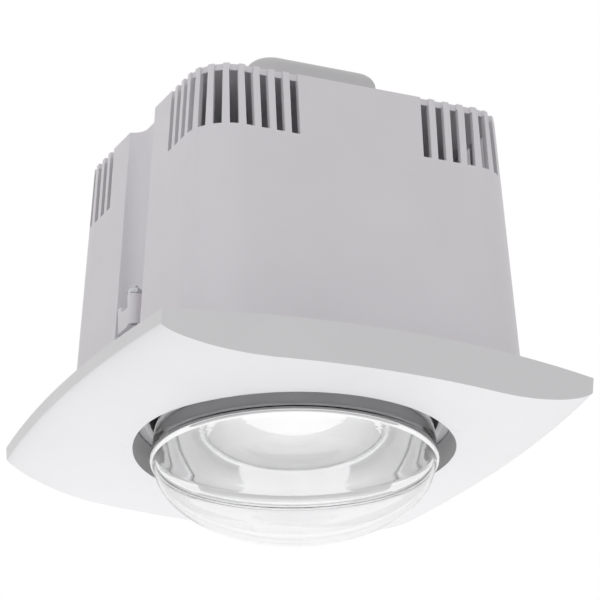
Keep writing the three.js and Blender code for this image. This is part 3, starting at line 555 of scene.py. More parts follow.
def round_edges(piece, width, segments=2, angle=40):
    """Rounds the sharp edges."""
    choose(piece)
    modifier = piece.modifiers.new("edges", "BEVEL")
    modifier.width = width
    modifier.segments = segments
    modifier.limit_method = "ANGLE"
    modifier.angle_limit = math.radians(angle)
    modifier.harden_normals = False
    bpy.ops.object.modifier_apply(modifier=modifier.name)
    return piece


def smooth(piece, angle=32):
    """Shades the piece smooth up to an angle."""
    choose(piece)
    bpy.ops.object.shade_smooth_by_angle(angle=math.radians(angle))
    return piece


def twin(piece, name, place, turn=0, over=False):
    """A copy with a mesh of its own, put upside down if asked, turned about Z and moved."""
    copy = piece.copy()
    copy.data = piece.data.copy()
    bpy.context.scene.collection.objects.link(copy)
    copy.rotation_euler = (math.pi if over else 0, 0, turn)
    copy.location = place
    return settle(copy, name)


def side_profile(name, line, width):
    """A closed outline of (y, z) pairs drawn out across X, centred on X = 0."""
    drawn_line([(-width / 2, y, z) for y, z in line])
    bpy.ops.mesh.edge_face_add()
    bpy.ops.mesh.extrude_region_move(TRANSFORM_OT_translate={"value": (width, 0, 0)})
    bpy.ops.object.mode_set(mode="OBJECT")
    return outward(settle(bpy.context.object, name))


def strip(name, line, width, thickness):
    """A bent strip of even thickness along a line of (y, z) pairs."""
    ahead, behind = [], []
    last = len(line) - 1
    for number, (y, z) in enumerate(line):
        before, after = line[max(0, number - 1)], line[min(last, number + 1)]
        run_y, run_z = after[0] - before[0], after[1] - before[1]
        run = math.hypot(run_y, run_z)
        out_y, out_z = thickness / 2 * run_z / run, -thickness / 2 * run_y / run
        ahead.append((y + out_y, z + out_z))
        behind.append((y - out_y, z - out_z))
    return side_profile(name, [*ahead, *reversed(behind)], width)


def drawn_wire(name, path, radius, fineness=3):
    """A round wire along a path, with closed ends."""
    drawn_line(path)
    bpy.ops.object.mode_set(mode="OBJECT")
    bpy.ops.object.convert(target="CURVE")
    curve = bpy.context.object.data
    curve.bevel_depth = radius
    curve.bevel_resolution = fineness
    curve.use_fill_caps = True
    bpy.ops.object.convert(target="MESH")
    wire = outward(settle(bpy.context.object, name))
    return smooth(wire, 60)


def lying_rod(name, radius, start, end, facets=HOLE_FACETS):
    """A round bar along Y."""
    clear_selection()
    bpy.ops.mesh.primitive_cylinder_add(
        vertices=facets, radius=radius, depth=end - start,
        location=(0, (start + end) / 2, 0), rotation=(QUARTER_TURN, 0, 0),
    )
    return settle(bpy.context.object, name)


def round_top(piece, height, rounding, segments):
    """Rounds the edge round the flat top at one height."""
    edit_all(piece)
    bpy.ops.mesh.select_all(action="DESELECT")
    bpy.ops.object.mode_set(mode="OBJECT")
    for face in piece.data.polygons:
        face.select = face.center.z > height - MERGE_DISTANCE
    bpy.ops.object.mode_set(mode="EDIT")
    bpy.ops.mesh.select_mode(type="FACE")
    bpy.ops.mesh.region_to_loop()
    bpy.ops.mesh.bevel(offset=rounding, segments=segments)
    bpy.ops.mesh.select_mode(type="VERT")
    bpy.ops.object.mode_set(mode="OBJECT")
    return outward(piece)


def helix(piece, rest, depth, pitch, low, high):
    """Turns the plain walls between two heights into a rolled screw thread."""
    for point in piece.data.vertices:
        x, y, z = point.co
        radius = math.hypot(x, y)
        if radius and low < z < high:
            wave = math.cos(FULL_TURN * (z - low) / pitch - math.atan2(y, x))
            ends = min(1, (z - low) / pitch * 2, (high - z) / pitch * 2)
            grown = radius - rest * ends + depth * wave * ends
            point.co.x *= grown / radius
            point.co.y *= grown / radius


def slotted_screw(name, size, head_radius, head_height, radius, length, pitch):
    """A pan-head screw with its head below Z = 0 and its thread above."""
    crown = head_height * CROWN_SHARE
    profile = []
    for step in range(CROWN_STEPS + 1):
        turn = QUARTER_TURN * step / CROWN_STEPS
        profile.append((head_radius * math.sin(turn), -head_height + crown * (1 - math.cos(turn))))
    profile += [(head_radius, 0), (radius, 0)]
    rings = round((length - size.tip) / pitch * SCREW_RINGS)
    low = size.tip / 2
    for ring in range(rings + 1):
        profile.append((radius, low + (length - size.tip - low) * ring / rings))
    profile += [(radius - size.tip / 2, length), (0, length)]
    screw = turned(name, profile, SCREW_FACETS)
    for point in screw.data.vertices:
        x, y, z = point.co
        if low < z < length - size.tip and math.hypot(x, y) > radius / 2:
            phase = ((z - low) / pitch - math.atan2(y, x) / FULL_TURN) % 1
            cut = size.thread * (1 - abs(2 * phase - 1)) * min(1, (z - low) / pitch)
            point.co.x *= (radius - cut) / radius
            point.co.y *= (radius - cut) / radius
    driver_slot = (3 * head_radius, size.slot_width, 2 * size.slot_depth)
    carve(screw, block("slot", driver_slot, (0, 0, -head_height)))
    return smooth(screw)


# Finishes: noises have their scale in waves to the metre, and bumps their depth in metres.


# The part of a noise's range that holds nearly all of its values.
NOISE_MIDDLE = (0.3, 0.7)


def add_node(tree, kind, **values):
    """A shader node with some of its inputs set; an underscore stands for a space."""
    node = tree.nodes.new(f"ShaderNode{kind}")
    for name, value in values.items():
        node.inputs[name.replace("_", " ")].default_value = value
    return node


def empty_tree(owner):
    """The cleared node tree of a material or a world."""
    owner.use_nodes = True
    owner.node_tree.nodes.clear()
    return owner.node_tree


def new_material(name):
    """A material with only a shader and an output."""
    material = bpy.data.materials.new(name)
    tree = empty_tree(material)
    shader = add_node(tree, "BsdfPrincipled")
    tree.links.new(shader.outputs["BSDF"], add_node(tree, "OutputMaterial").inputs["Surface"])
    return material, tree, shader


def noise(tree, scale, detail=4, roughness=0.5, stretch=(1, 1, 1)):
    """Noise in the object's own coordinates."""
    mapping = add_node(tree, "Mapping", Scale=stretch)
    texture = add_node(tree, "TexNoise", Scale=scale, Detail=detail, Roughness=roughness)
    tree.links.new(add_node(tree, "TexCoord").outputs["Object"], mapping.inputs["Vector"])
    tree.links.new(mapping.outputs["Vector"], texture.inputs["Vector"])
    return texture.outputs["Fac"]


def vary_colour(tree, shader, base, value, amount):
    """Moves the base colour a little lighter and darker with a noise."""
    ramp = add_node(tree, "ValToRGB")
    darkest, lightest = ramp.color_ramp.elements
    darkest.position, lightest.position = NOISE_MIDDLE
    darkest.color = (*[c * (1 - amount) for c in base], 1)
    lightest.color = (*[min(1, c * (1 + amount)) for c in base], 1)
    tree.links.new(value, ramp.inputs["Fac"])
    tree.links.new(ramp.outputs["Color"], shader.inputs["Base Color"])


def vary_roughness(tree, shader, value, low, high):
    """Spreads the middle of a noise over a range of roughness."""
    start, end = NOISE_MIDDLE
    spread = add_node(tree, "MapRange", From_Min=start, From_Max=end, To_Min=low, To_Max=high)
    tree.links.new(value, spread.inputs["Value"])
    tree.links.new(spread.outputs["Result"], shader.inputs["Roughness"])


def bump(tree, shader, value, distance, strength):
    """Raises the surface with a noise."""
    relief = add_node(tree, "Bump", Strength=strength, Distance=distance)
    tree.links.new(value, relief.inputs["Height"])
    tree.links.new(relief.outputs["Normal"], shader.inputs["Normal"])


def moulded_plastic(name, base, roughness, grain_depth=0.00003, amount=0.02):
    """Injection-moulded plastic with a fine matt grain."""
    material, tree, shader = new_material(name)
    shader.inputs["IOR"].default_value = 1.49
    vary_colour(tree, shader, base, noise(tree, 24, 5), amount)
    vary_roughness(tree, shader, noise(tree, 160, 3), roughness - 0.05, roughness + 0.06)
    bump(tree, shader, noise(tree, 2600, 2), grain_depth, 0.35)
    return material


def worked_metal(name, base, roughness, stretch=(1, 1, 1)):
    """Metal with fine working marks along one way."""
    material, tree, shader = new_material(name)
    shader.inputs["Metallic"].default_value = 1
    vary_colour(tree, shader, base, noise(tree, 60, 4), 0.06)
    marks = noise(tree, 400, 3, 0.6, stretch)
    vary_roughness(tree, shader, marks, roughness - 0.08, roughness + 0.1)
    bump(tree, shader, marks, 0.00001, 0.4)
    return material


def fired_ceramic(name, base):
    """Unglazed white ceramic with small pits."""
    material, tree, shader = new_material(name)
    vary_colour(tree, shader, base, noise(tree, 90, 5), 0.04)
    vary_roughness(tree, shader, noise(tree, 300, 4), 0.5, 0.7)
    bump(tree, shader, noise(tree, 1500, 4), 0.00005, 0.5)
    return material


def blown_glass(name, tint):
    """Clear glass with the slow waves of a blown bulb."""
    material, tree, shader = new_material(name)
    shader.inputs["Base Color"].default_value = (*tint, 1)
    shader.inputs["Transmission Weight"].default_value = 1
    shader.inputs["IOR"].default_value = 1.47
    vary_roughness(tree, shader, noise(tree, 30, 2), 0, 0.015)
    bump(tree, shader, noise(tree, 22, 1, 0.3, (1, 1, 2.5)), 0.0006, 0.25)
    return material


def silvering(name, base):
    """Bright silver layer on the inside of the bulb, with faint rings from spinning."""
    material, tree, shader = new_material(name)
    shader.inputs["Metallic"].default_value = 1
    vary_colour(tree, shader, base, noise(tree, 40, 4), 0.02)
    vary_roughness(tree, shader, noise(tree, 55, 3), 0.03, 0.09)
    bump(tree, shader, noise(tree, 60, 1, 0.5, (0, 0, 1)), 0.0009, 0.2)
    return material


def black_enamel(name, base):
    """Black glass of the cap's insulator."""
    material, tree, shader = new_material(name)
    vary_colour(tree, shader, base, noise(tree, 200, 3), 0.3)
    vary_roughness(tree, shader, noise(tree, 150, 3), 0.15, 0.35)
    bump(tree, shader, noise(tree, 900, 2), 0.00002, 0.3)
    return material


def soft_rubber(name, base):
    """Matt rubber with a faint bloom."""
    material, tree, shader = new_material(name)
    vary_colour(tree, shader, base, noise(tree, 120, 5), 0.35)
    vary_roughness(tree, shader, noise(tree, 400, 3), 0.6, 0.8)
    bump(tree, shader, noise(tree, 2200, 3), 0.00004, 0.4)
    return material


FINISHES = {}


def finish(name):
    """Makes each finish once, from the colours in the panel."""
    if name in FINISHES:
        return FINISHES[name]
    colours = bpy.context.scene.heater_finish
    makers = {
        "housing_plastic": lambda: moulded_plastic(name, colours.housing, 0.5),
        "fascia_plastic": lambda: moulded_plastic(name, colours.fascia, 0.42, 0.00002, 0.012),
        "cover_plastic": lambda: moulded_plastic(name, colours.cover, 0.5),
        "clamp_plastic": lambda: moulded_plastic(name, colours.clamp, 0.42),
        "nylon": lambda: moulded_plastic(name, (0.7, 0.68, 0.6), 0.45),
        "lead_insulation_brown": lambda: moulded_plastic(name, (0.2, 0.08, 0.03), 0.45),
        "lead_insulation_blue": lambda: moulded_plastic(name, (0.05, 0.13, 0.4), 0.45),
        "sheet_aluminium": lambda: worked_metal(name, (0.8, 0.8, 0.81), 0.5, (1, 1, 0.05)),
        "zinc_steel": lambda: worked_metal(name, (0.55, 0.56, 0.58), 0.3),
        "spring_steel": lambda: worked_metal(name, (0.4, 0.41, 0.43), 0.28, (0.1, 1, 1)),
        "brass": lambda: worked_metal(name, (0.7, 0.55, 0.28), 0.3),
        "tungsten": lambda: worked_metal(name, (0.2, 0.19, 0.18), 0.4, (0.1, 1, 1)),
        "ceramic": lambda: fired_ceramic(name, (0.85, 0.82, 0.76)),
        "clear_glass": lambda: blown_glass(name, (1.0, 1.0, 1.0)),
        "silver": lambda: silvering(name, (0.95, 0.95, 0.955)),
        "black_glass": lambda: black_enamel(name, (0.03, 0.03, 0.04)),
        "grommet_rubber": lambda: soft_rubber(name, (0.03, 0.03, 0.03)),
    }
    FINISHES[name] = makers[name]()
    return FINISHES[name]


def hand_over(piece, body, slot, *nodes):
    """Gives a finished piece its finish, its body and the CAD nodes it stands for."""
    piece.data.materials.clear()
    piece.data.materials.append(finish(slot))
    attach(piece, body)
    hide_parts(*nodes)


# Pieces


class HEATER_OT_housing(bpy.types.Operator):
    """Moulds the housing with its flange, channels and vent slots"""

    bl_idname = "heater.housing"
    bl_label = "Housing shell"

    def execute(self, context):
        size = context.scene.heater_housing
        low = -size.flange_thickness

        def plan(z, inset=0):
            part = z / size.height
            return (
                size.half_width - size.draft_side * part - inset,
                size.half_depth - size.draft_front * part - inset,
                size.corner_low + (size.corner_high - size.corner_low) * part - inset,
            )

        def walls(name, start, end, inset):
            return rounded_block(name, plan(start, inset), plan(end, inset), start, end, HOUSING_CORNER)

        shell = walls("housing_shell_moulded", low, size.height, 0)
        flange_plan = (size.flange_half_width, size.flange_half_depth, size.flange_corner)
        carve(shell, rounded_block("flange", flange_plan, flange_plan, low, 0, FLANGE_CORNER), "UNION")

        over = size.wall
        hollow = walls("hollow", low - over, size.height - size.wall, size.wall)
        liner_floor = size.channel_floor - size.channel_wall
        liner_reach = size.half_width - liner_floor + over
        liner = (liner_reach, 2 * (size.channel_half_width + size.channel_wall), 2 * size.height)
        for side in SIDES:
            carve(hollow, block("liner", liner, (side * (liner_floor + liner_reach / 2), 0, size.height / 2)))
        carve(shell, hollow)
        channel_plan = (size.channel_half_width, size.channel_half_width, size.channel_corner)
        for side in SIDES:
            cut = rounded_block("channel", channel_plan, channel_plan, 0, size.height + over, PLATE_CORNER)
            cut.location.x = side * (size.channel_floor + size.channel_half_width)
            carve(shell, settle(cut, "channel"))

        window_middle = (size.slot_bottom + size.slot_top) / 2
        window_tall = size.slot_top - size.slot_bottom
        groove_tall = size.height + over - size.slot_top
        groove_middle = size.slot_top + groove_tall / 2
        for name, level, middle, tall, inward in (
            ("windows", window_middle, window_middle, window_tall, size.wall * 2),
            ("grooves", size.height, groove_middle, groove_tall, size.groove_depth),
        ):
            cutters = []
            for place, facing in self.slot_places(size, *plan(level)):
                cutters += self.slot_blocks(size, place, facing, middle, tall, inward)
            carve(shell, together(name, cutters))
        self.posts_and_holes(context.scene, shell, low, over)
        round_edges(shell, size.edge / 2)
        smooth(shell)
        hand_over(shell, "housing", "housing_plastic", "housing_shell")
        return {"FINISHED"}

    @staticmethod
    def posts_and_holes(scene, shell, low, over):
        """Screw posts in the corners, and the holes in the flange and the top."""
        size, screw, shield = scene.heater_housing, scene.heater_screw, scene.heater_shield
        holder, cover, clamp = scene.heater_holder, scene.heater_cover, scene.heater_clamp
        hole = screw.radius + screw.room
        for sign_x, sign_y in CORNERS:
            place = (sign_x * shield.screw_x, sign_y * shield.screw_y)
            post = rod("post", shield.post_radius, low, shield.post_height, place, POST_FACETS)
            carve(shell, post, "UNION")
            carve(shell, rod("hole", hole, low - over, screw.length, place))
        ear_x = cover.box_half_width + cover.ear_length / 2
        ear_y = cover.half_depth + screw.room + cover.box_half_depth
        places = []
        for side in SIDES:
            carve(shell, rod("clamp_hole", clamp.hole, low - over, over, (side * clamp.axis, 0)))
            places += [(side * holder.strap_screw, 0), (side * ear_x, ear_y)]
            places.append((side * cover.post_place, -side * cover.post_place))
        under, above = size.height - 2 * over, size.height + over
        for place in places:
            carve(shell, rod("hole", hole, under, above, place))
        carve(shell, rod("lampholder_hole", holder.hole, under, above, facets=STEM_FACETS))

    @staticmethod
    def slot_places(size, half_x, half_y, corner):
        """Places of the slots round one corner, each with the direction it faces."""
        front = half_x - corner - size.slot_start_front
        arc = corner * QUARTER_TURN
        side = half_y - corner - size.slot_start_side
        pitch = (front + arc + side - size.slot_width) / (size.slot_count - 1)
        places = []
        for number in range(size.slot_count):
            run = size.slot_width / 2 + pitch * number
            if run < front:
                places.append(((size.slot_start_front + run, half_y), QUARTER_TURN))
            elif run < front + arc:
                facing = QUARTER_TURN - (run - front) / corner
                x = half_x - corner + corner * math.cos(facing)
                y = half_y - corner + corner * math.sin(facing)
                places.append(((x, y), facing))
            else:
                places.append(((half_x, half_y - corner - (run - front - arc)), 0))
        return places

    @staticmethod
    def slot_blocks(size, place, facing, middle, tall, inward):
        """The same slot at all four corners."""
        reach = size.wall * 4
        out = reach / 2 - inward
        blocks = []
        for sign_x, sign_y in CORNERS:
            turn = math.atan2(sign_y * math.sin(facing), sign_x * math.cos(facing))
            x = sign_x * place[0] + out * math.cos(turn)
            y = sign_y * place[1] + out * math.sin(turn)
            blocks.append(block("slot", (reach, size.slot_width, tall), (x, y, middle), turn))
        return blocks


class HEATER_OT_fascia(bpy.types.Operator):
    """Moulds the fascia with its curved underside and the collar round the lamp"""

    bl_idname = "heater.fascia"
    bl_label = "Fascia"

    def execute(self, context):
        size = context.scene.heater_fascia
        plate = self.pillow(size, "fascia_plate_moulded", 0, 0)
        carve(plate, self.pillow(size, "hollow", size.wall, size.wall))
        carve(plate, rod("opening", size.opening, -2 * size.depth, size.depth, facets=OPENING_FACETS))
        profile = [
            (size.opening, -size.depth),
            (size.opening + size.collar_wall, -size.depth),
            (size.collar_top + size.collar_wall, -size.collar_height),
            (size.collar_top, -size.collar_height),
        ]
        collar = turned("collar", profile, OPENING_FACETS, closed=True)
        carve(collar, self.pillow(size, "outline", 0, 0), "INTERSECT")
        carve(plate, collar, "UNION")
        self.pockets(context.scene, plate, size)
        round_edges(plate, size.edge, 3, 50)
        smooth(plate, 40)
        hand_over(plate, "fascia", "fascia_plastic", "fascia_plate")
        return {"FINISHED"}

    @staticmethod
    def pockets(scene, plate, size):
        """Four pockets that the spring clips stand in."""
        clip, room = scene.heater_clip, scene.heater_screw.room
        low = size.wall - size.depth
        inner = (clip.width + 2 * room, clip.thickness + 2 * room)
        outer = tuple(value + 2 * clip.pocket_wall for value in inner)
        tall = clip.pocket_height
        for sign_x, sign_y in CORNERS:
            x, y = sign_x * clip.offset, sign_y * clip.place
            pocket = block("pocket", (*outer, tall + size.wall / 2), (x, y, low + tall / 2 - size.wall / 4))
            carve(plate, pocket, "UNION")
            carve(plate, block("hole", (*inner, 2 * tall), (x, y, low + tall)))

    @staticmethod
    def pillow(size, name, inset, raised):
        """A closed body under the fascia's curves, from a fine grid drawn out in depth."""
        clear_selection()
        columns, rows = FASCIA_GRID
        bpy.ops.mesh.primitive_grid_add(
            x_subdivisions=columns, y_subdivisions=rows, size=2, location=(0, 0, -1)
        )
        piece = bpy.context.object
        edit_all(piece)
        bpy.ops.mesh.extrude_region_move(TRANSFORM_OT_translate={"value": (0, 0, 1)})
        bpy.ops.object.mode_set(mode="OBJECT")
        settle(piece, name)
        half_x = size.half_width - inset
        half_y = size.half_depth - inset
        for point in piece.data.vertices:
            u, v, layer = point.co
            upper = layer > -0.5
            x = y = 0
            for _ in range(SETTLING_ROUNDS):
                edge = half_x + size.bulge_side * (1 - (y / half_y) ** 2)
                if abs(u) < FLAT_SHARE:
                    x = size.flat_half * u / FLAT_SHARE
                    way_out = 0
                else:
                    way_out = math.sin((abs(u) - FLAT_SHARE) / (1 - FLAT_SHARE) * QUARTER_TURN)
                    x = math.copysign(size.flat_half + (edge - size.flat_half) * way_out, u)
                rise = (1 - way_out**2) ** UNDERSIDE_FALL
                depth = size.edge_depth + (size.depth - size.edge_depth) * rise - inset
                lean = 0 if upper else size.rim_inset * depth / size.depth
                y = v * (half_y - lean + size.bulge_front * (1 - (x / half_x) ** 2))
            point.co = (x, y, raised if upper else -depth)
        return outward(piece)


class HEATER_OT_lamp_glass(bpy.types.Operator):
    """Blows the lamp's glass and lays the silver inside it"""

    bl_idname = "heater.lamp_glass"
    bl_label = "Lamp glass and silver"

    def execute(self, context):
        size = context.scene.heater_lamp
        outer = self.line(size, 0)
        inner = self.line(size, size.glass)
        glass = turned("lamp_glass_blown", [*outer, *reversed(inner)], LAMP_FACETS)
        smooth(glass, 60)
        hand_over(glass, "lamp", "clear_glass", "lamp_glass")
        face = self.silver(size, size.glass * (1 + SILVER_FACE))
        back = self.silver(size, size.glass * (1 + SILVER_BACK))
        mirror = turned("lamp_reflector_layer", [*face, *reversed(back)], LAMP_FACETS, closed=True)
        smooth(mirror, 60)
        hand_over(mirror, "lamp", "silver", "lamp_reflector")
        return {"FINISHED"}

    @staticmethod
    def arc(size, inset, low, high, steps=10):
        """The rolled bead at the widest ring, between two angles from level."""
        line = []
        reach = size.bead - inset
        for step in range(steps + 1):
            turn = low + (high - low) * step / steps
            radius = size.radius - size.bead + reach * math.cos(turn)
            line.append((radius, -size.equator + reach * math.sin(turn)))
        return line

    @staticmethod
    def dome(size, inset, end, steps=40):
        """The front dome from its lowest point up to the bead."""
        last = math.acos((size.bead - inset) * math.sin(end) / size.dome_depth)
        line = []
        for step in range(steps):
            turn = last * step / steps
            radius = (size.radius - size.bead_out - inset) * math.sin(turn)
            line.append((radius, -size.equator - (size.dome_depth - inset) * math.cos(turn)))
        return line

    @staticmethod
    def body(size, inset, end, steps=36):
        """The body from above the bead to a share of the way to the neck."""
        line = []
        for step in range(1, steps + 1):
            part = end * step / steps
            narrow = (1 - part ** SHOULDER) ** NARROWING
            radius = size.neck_radius + (size.radius - size.bead_out - size.neck_radius) * narrow
            line.append((radius - inset, -size.equator + size.bead + (size.body_height - size.bead) * part))
        return line

    @classmethod
    def silver(cls, size, inset):
        """The silvered part, from the lower side of the bead."""
        edge = math.acos(1 - size.bead_out / size.bead)
        bead = cls.arc(size, inset, -edge * SILVERED_BEAD, edge)
        return [*bead, *cls.body(size, inset, size.silver_end)]

    @classmethod
    def line(cls, size, inset):
        """The bulb from the bottom of the dome to the rim inside the cap."""
        edge = math.acos(1 - size.bead_out / size.bead)
        neck = size.collar_radius - inset
        bulb = [*cls.dome(size, inset, edge), *cls.arc(size, inset, -edge, edge), *cls.body(size, inset, 1)]
        return [*bulb, (neck, size.collar_low), (neck, size.collar_top)]


class HEATER_OT_fascia_clips(bpy.types.Operator):
    """Bends the four spring clips that hold the fascia"""

    bl_idname = "heater.fascia_clips"
    bl_label = "Fascia clips"

    def execute(self, context):
        size = context.scene.heater_clip
        # From the foot up: the straight end, the bow, and the tip that leans in.
        line = [
            (0, -size.low + size.pocket_wall / 5),
            (0, -size.straight - size.bow),
            (size.bow * 0.1, -size.straight),
            (size.bow * 0.8, size.bow_height - size.bow),
            (size.bow, size.bow_height),
            (size.bow * 0.85, size.bow_height + size.bow),
            (-size.tip_in * 0.8, size.top - size.bow),
            (-size.tip_in, size.top),
        ]
        clip = strip("fascia_clip", line, size.width, size.thickness)
        round_edges(clip, size.thickness / 6)
        smooth(clip)
        for sign_x, sign_y in CORNERS:
            turn = 0 if sign_y > 0 else 2 * QUARTER_TURN
            place = (sign_x * size.offset, sign_y * size.place, 0)
            node = f"fascia_clip_{corner_word(sign_x, sign_y)}"
            copy = twin(clip, f"{node}_bent", place, turn)
            hand_over(copy, "fascia", "spring_steel", node)
        bpy.data.objects.remove(clip)
        return {"FINISHED"}


class HEATER_OT_heat_shield(bpy.types.Operator):
    """Presses the heat shield with its cone round the lamp"""

    bl_idname = "heater.heat_shield"
    bl_label = "Heat shield"

    def execute(self, context):
        size = context.scene.heater_shield
        screw = context.scene.heater_screw
        plan = (size.half_width, size.half_depth, size.corner)
        high = size.thickness - size.low
        shield = rounded_block("heat_shield_pressed", plan, plan, -size.low, high, PLATE_CORNER)
        under, above = -size.low - size.thickness, high + size.thickness
        carve(shield, rod("mouth", size.mouth, under, above, facets=LAMP_FACETS))
        for side in SIDES:
            place = (side * context.scene.heater_clamp.axis, 0)
            carve(shield, rod("notch", size.notch, under, above, place, NOTCH_FACETS))
        for sign_x, sign_y in CORNERS:
            place = (sign_x * size.screw_x, sign_y * size.screw_y)
            carve(shield, rod("hole", screw.radius + screw.room, under, above, place))
        inside = [(size.mouth, -size.low), (size.throat, high), (size.top_radius, size.top)]
        outside = [(radius + size.wall, height) for radius, height in inside]
        profile = [inside[0], *outside, *reversed(inside[1:])]
        carve(shield, turned("cone", profile, LAMP_FACETS, closed=True), "UNION")
        round_edges(shield, size.wall / 5)
        smooth(shield)
        hand_over(shield, "housing", "sheet_aluminium", "heat_shield")
        return {"FINISHED"}


class HEATER_OT_screws(bpy.types.Operator):
    """Rolls the small slotted screw and sets its copies"""

    bl_idname = "heater.screws"
    bl_label = "Small screws"

    def execute(self, context):
        scene = context.scene
        size = scene.heater_screw
        shield, holder, cover = scene.heater_shield, scene.heater_holder, scene.heater_cover
        roof = scene.heater_housing.height
        master = slotted_screw(
            "small_screw", size, size.head_radius, size.head_height, size.radius, size.length, size.pitch
        )
        places = []
        for sign_x, sign_y in CORNERS:
            spot = (sign_x * shield.screw_x, sign_y * shield.screw_y, -shield.low - size.room)
            places.append((f"heat_shield_screw_{corner_word(sign_x, sign_y)}", spot, False))
        strap_high = roof + holder.flange_height + holder.strap_thickness + 3 * size.room
        ear_high = roof + cover.ear_thickness + 2 * size.room
        ear_x = cover.box_half_width + cover.ear_length / 2
        ear_y = cover.half_depth + size.room + cover.box_half_depth
        under = roof - scene.heater_housing.wall - size.room
        for side, word in SIDE_WORDS:
            spot = (side * holder.strap_screw, 0, strap_high)
            places.append((f"lampholder_strap_screw_{word}", spot, True))
            places.append((f"terminal_cover_screw_{word}", (side * ear_x, ear_y, ear_high), True))
            number = 1 if side < 0 else 2
            spot = (-side * cover.post_place, side * cover.post_place, under)
            places.append((f"lampholder_cover_screw_{number}", spot, False))
        for node, spot, over in places:
            copy = twin(master, f"{node}_rolled", spot, over=over)
            hand_over(copy, "housing", "zinc_steel", node)
        bpy.data.objects.remove(master)
        return {"FINISHED"}


class HEATER_OT_lampholder(bpy.types.Operator):
    """Makes the ceramic lampholder, its shell and spring, and the strap that holds it"""

    bl_idname = "heater.lampholder"
    bl_label = "Lampholder"

    def execute(self, context):
        scene = context.scene
        size = scene.heater_holder
        room = scene.heater_screw.room
        roof = scene.heater_housing.height
        self.body(size, roof, room)
        self.contacts(size, scene.heater_lamp_inside, roof, room)
        self.strap(size, scene.heater_screw, roof + size.flange_height + 2 * room)
        return {"FINISHED"}

    @staticmethod
    def body(size, roof, room):
        """The ceramic body with its skirt, flange and head."""
        low, high = roof - size.hang, roof + size.rise
        seat = roof + room
        top = seat + size.flange_height
        profile = [(0, roof + size.roof), (size.bore, roof + size.roof), (size.bore, low)]
        profile += [(size.radius, low), (size.radius, seat), (size.flange_radius, seat)]
        profile += [(size.flange_radius, top), (size.head_radius, top), (size.head_radius, high), (0, high)]
        body = turned("lampholder_body_fired", profile, CAP_FACETS)
        round_edges(body, size.flange_height / 5, 3, 60)
        smooth(body)
        hand_over(body, "housing", "ceramic", "lampholder_body")

    @staticmethod
    def contacts(size, lamp, roof, room):
        """The rolled screw shell and the bent centre contact."""
        low = roof - size.hang + size.shell_low
        inner = size.shell_radius - size.shell_wall
        levels = [low + size.shell_height * ring / SHELL_RINGS for ring in range(SHELL_RINGS + 1)]
        profile = [(size.shell_radius, z) for z in levels] + [(inner, z) for z in reversed(levels)]
        shell = turned("lampholder_screw_shell_rolled", profile, CAP_FACETS, closed=True)
        margin = lamp.cap_pitch / 2
        high = low + size.shell_height
        helix(shell, 0, size.shell_wall * SHELL_ROLL, lamp.cap_pitch, low + margin, high - margin)
        smooth(shell, 50)
        hand_over(shell, "housing", "brass", "lampholder_screw_shell")

        top = roof + size.roof - room
        middle = top - size.spring_thickness / 2
        dip = lamp.contact_top + room + size.spring_thickness / 2
        half = size.spring_length / 2
        # From the flat end to the dip: shares of the half length, and of the way down.
        bend = ((1, 0), (0.5, 0), (0.36, 0.12), (0.14, 0.9))
        line = [(half * run, middle - (middle - dip) * drop) for run, drop in bend]
        line = [*[(-y, z) for y, z in line], (0, dip), *reversed(line)]
        spring = strip("lampholder_contact_spring_bent", line, size.spring_width, size.spring_thickness)
        round_edges(spring, size.spring_thickness / 6)
        smooth(spring)
        hand_over(spring, "housing", "brass", "lampholder_contact_spring")

    @staticmethod
    def strap(size, screw, low):
        """The stamped strap over the flange."""
        high = low + size.strap_thickness
        strap = rod("lampholder_strap_stamped", size.strap_ring, low, high, facets=CAP_FACETS)
        ears = (size.strap_half_length, size.strap_half_width, size.strap_half_width / 3)
        carve(strap, rounded_block("ears", ears, ears, low, high, EAR_CORNER), "UNION")
        under, above = low - size.strap_thickness, high + size.strap_thickness
        carve(strap, rod("hole", size.head_radius + screw.room, under, above, facets=CAP_FACETS))
        for side in SIDES:
            carve(strap, rod("hole", screw.radius + screw.room, under, above, (side * size.strap_screw, 0)))
        round_edges(strap, size.strap_thickness / 8)
        smooth(strap)
        hand_over(strap, "housing", "zinc_steel", "lampholder_strap")


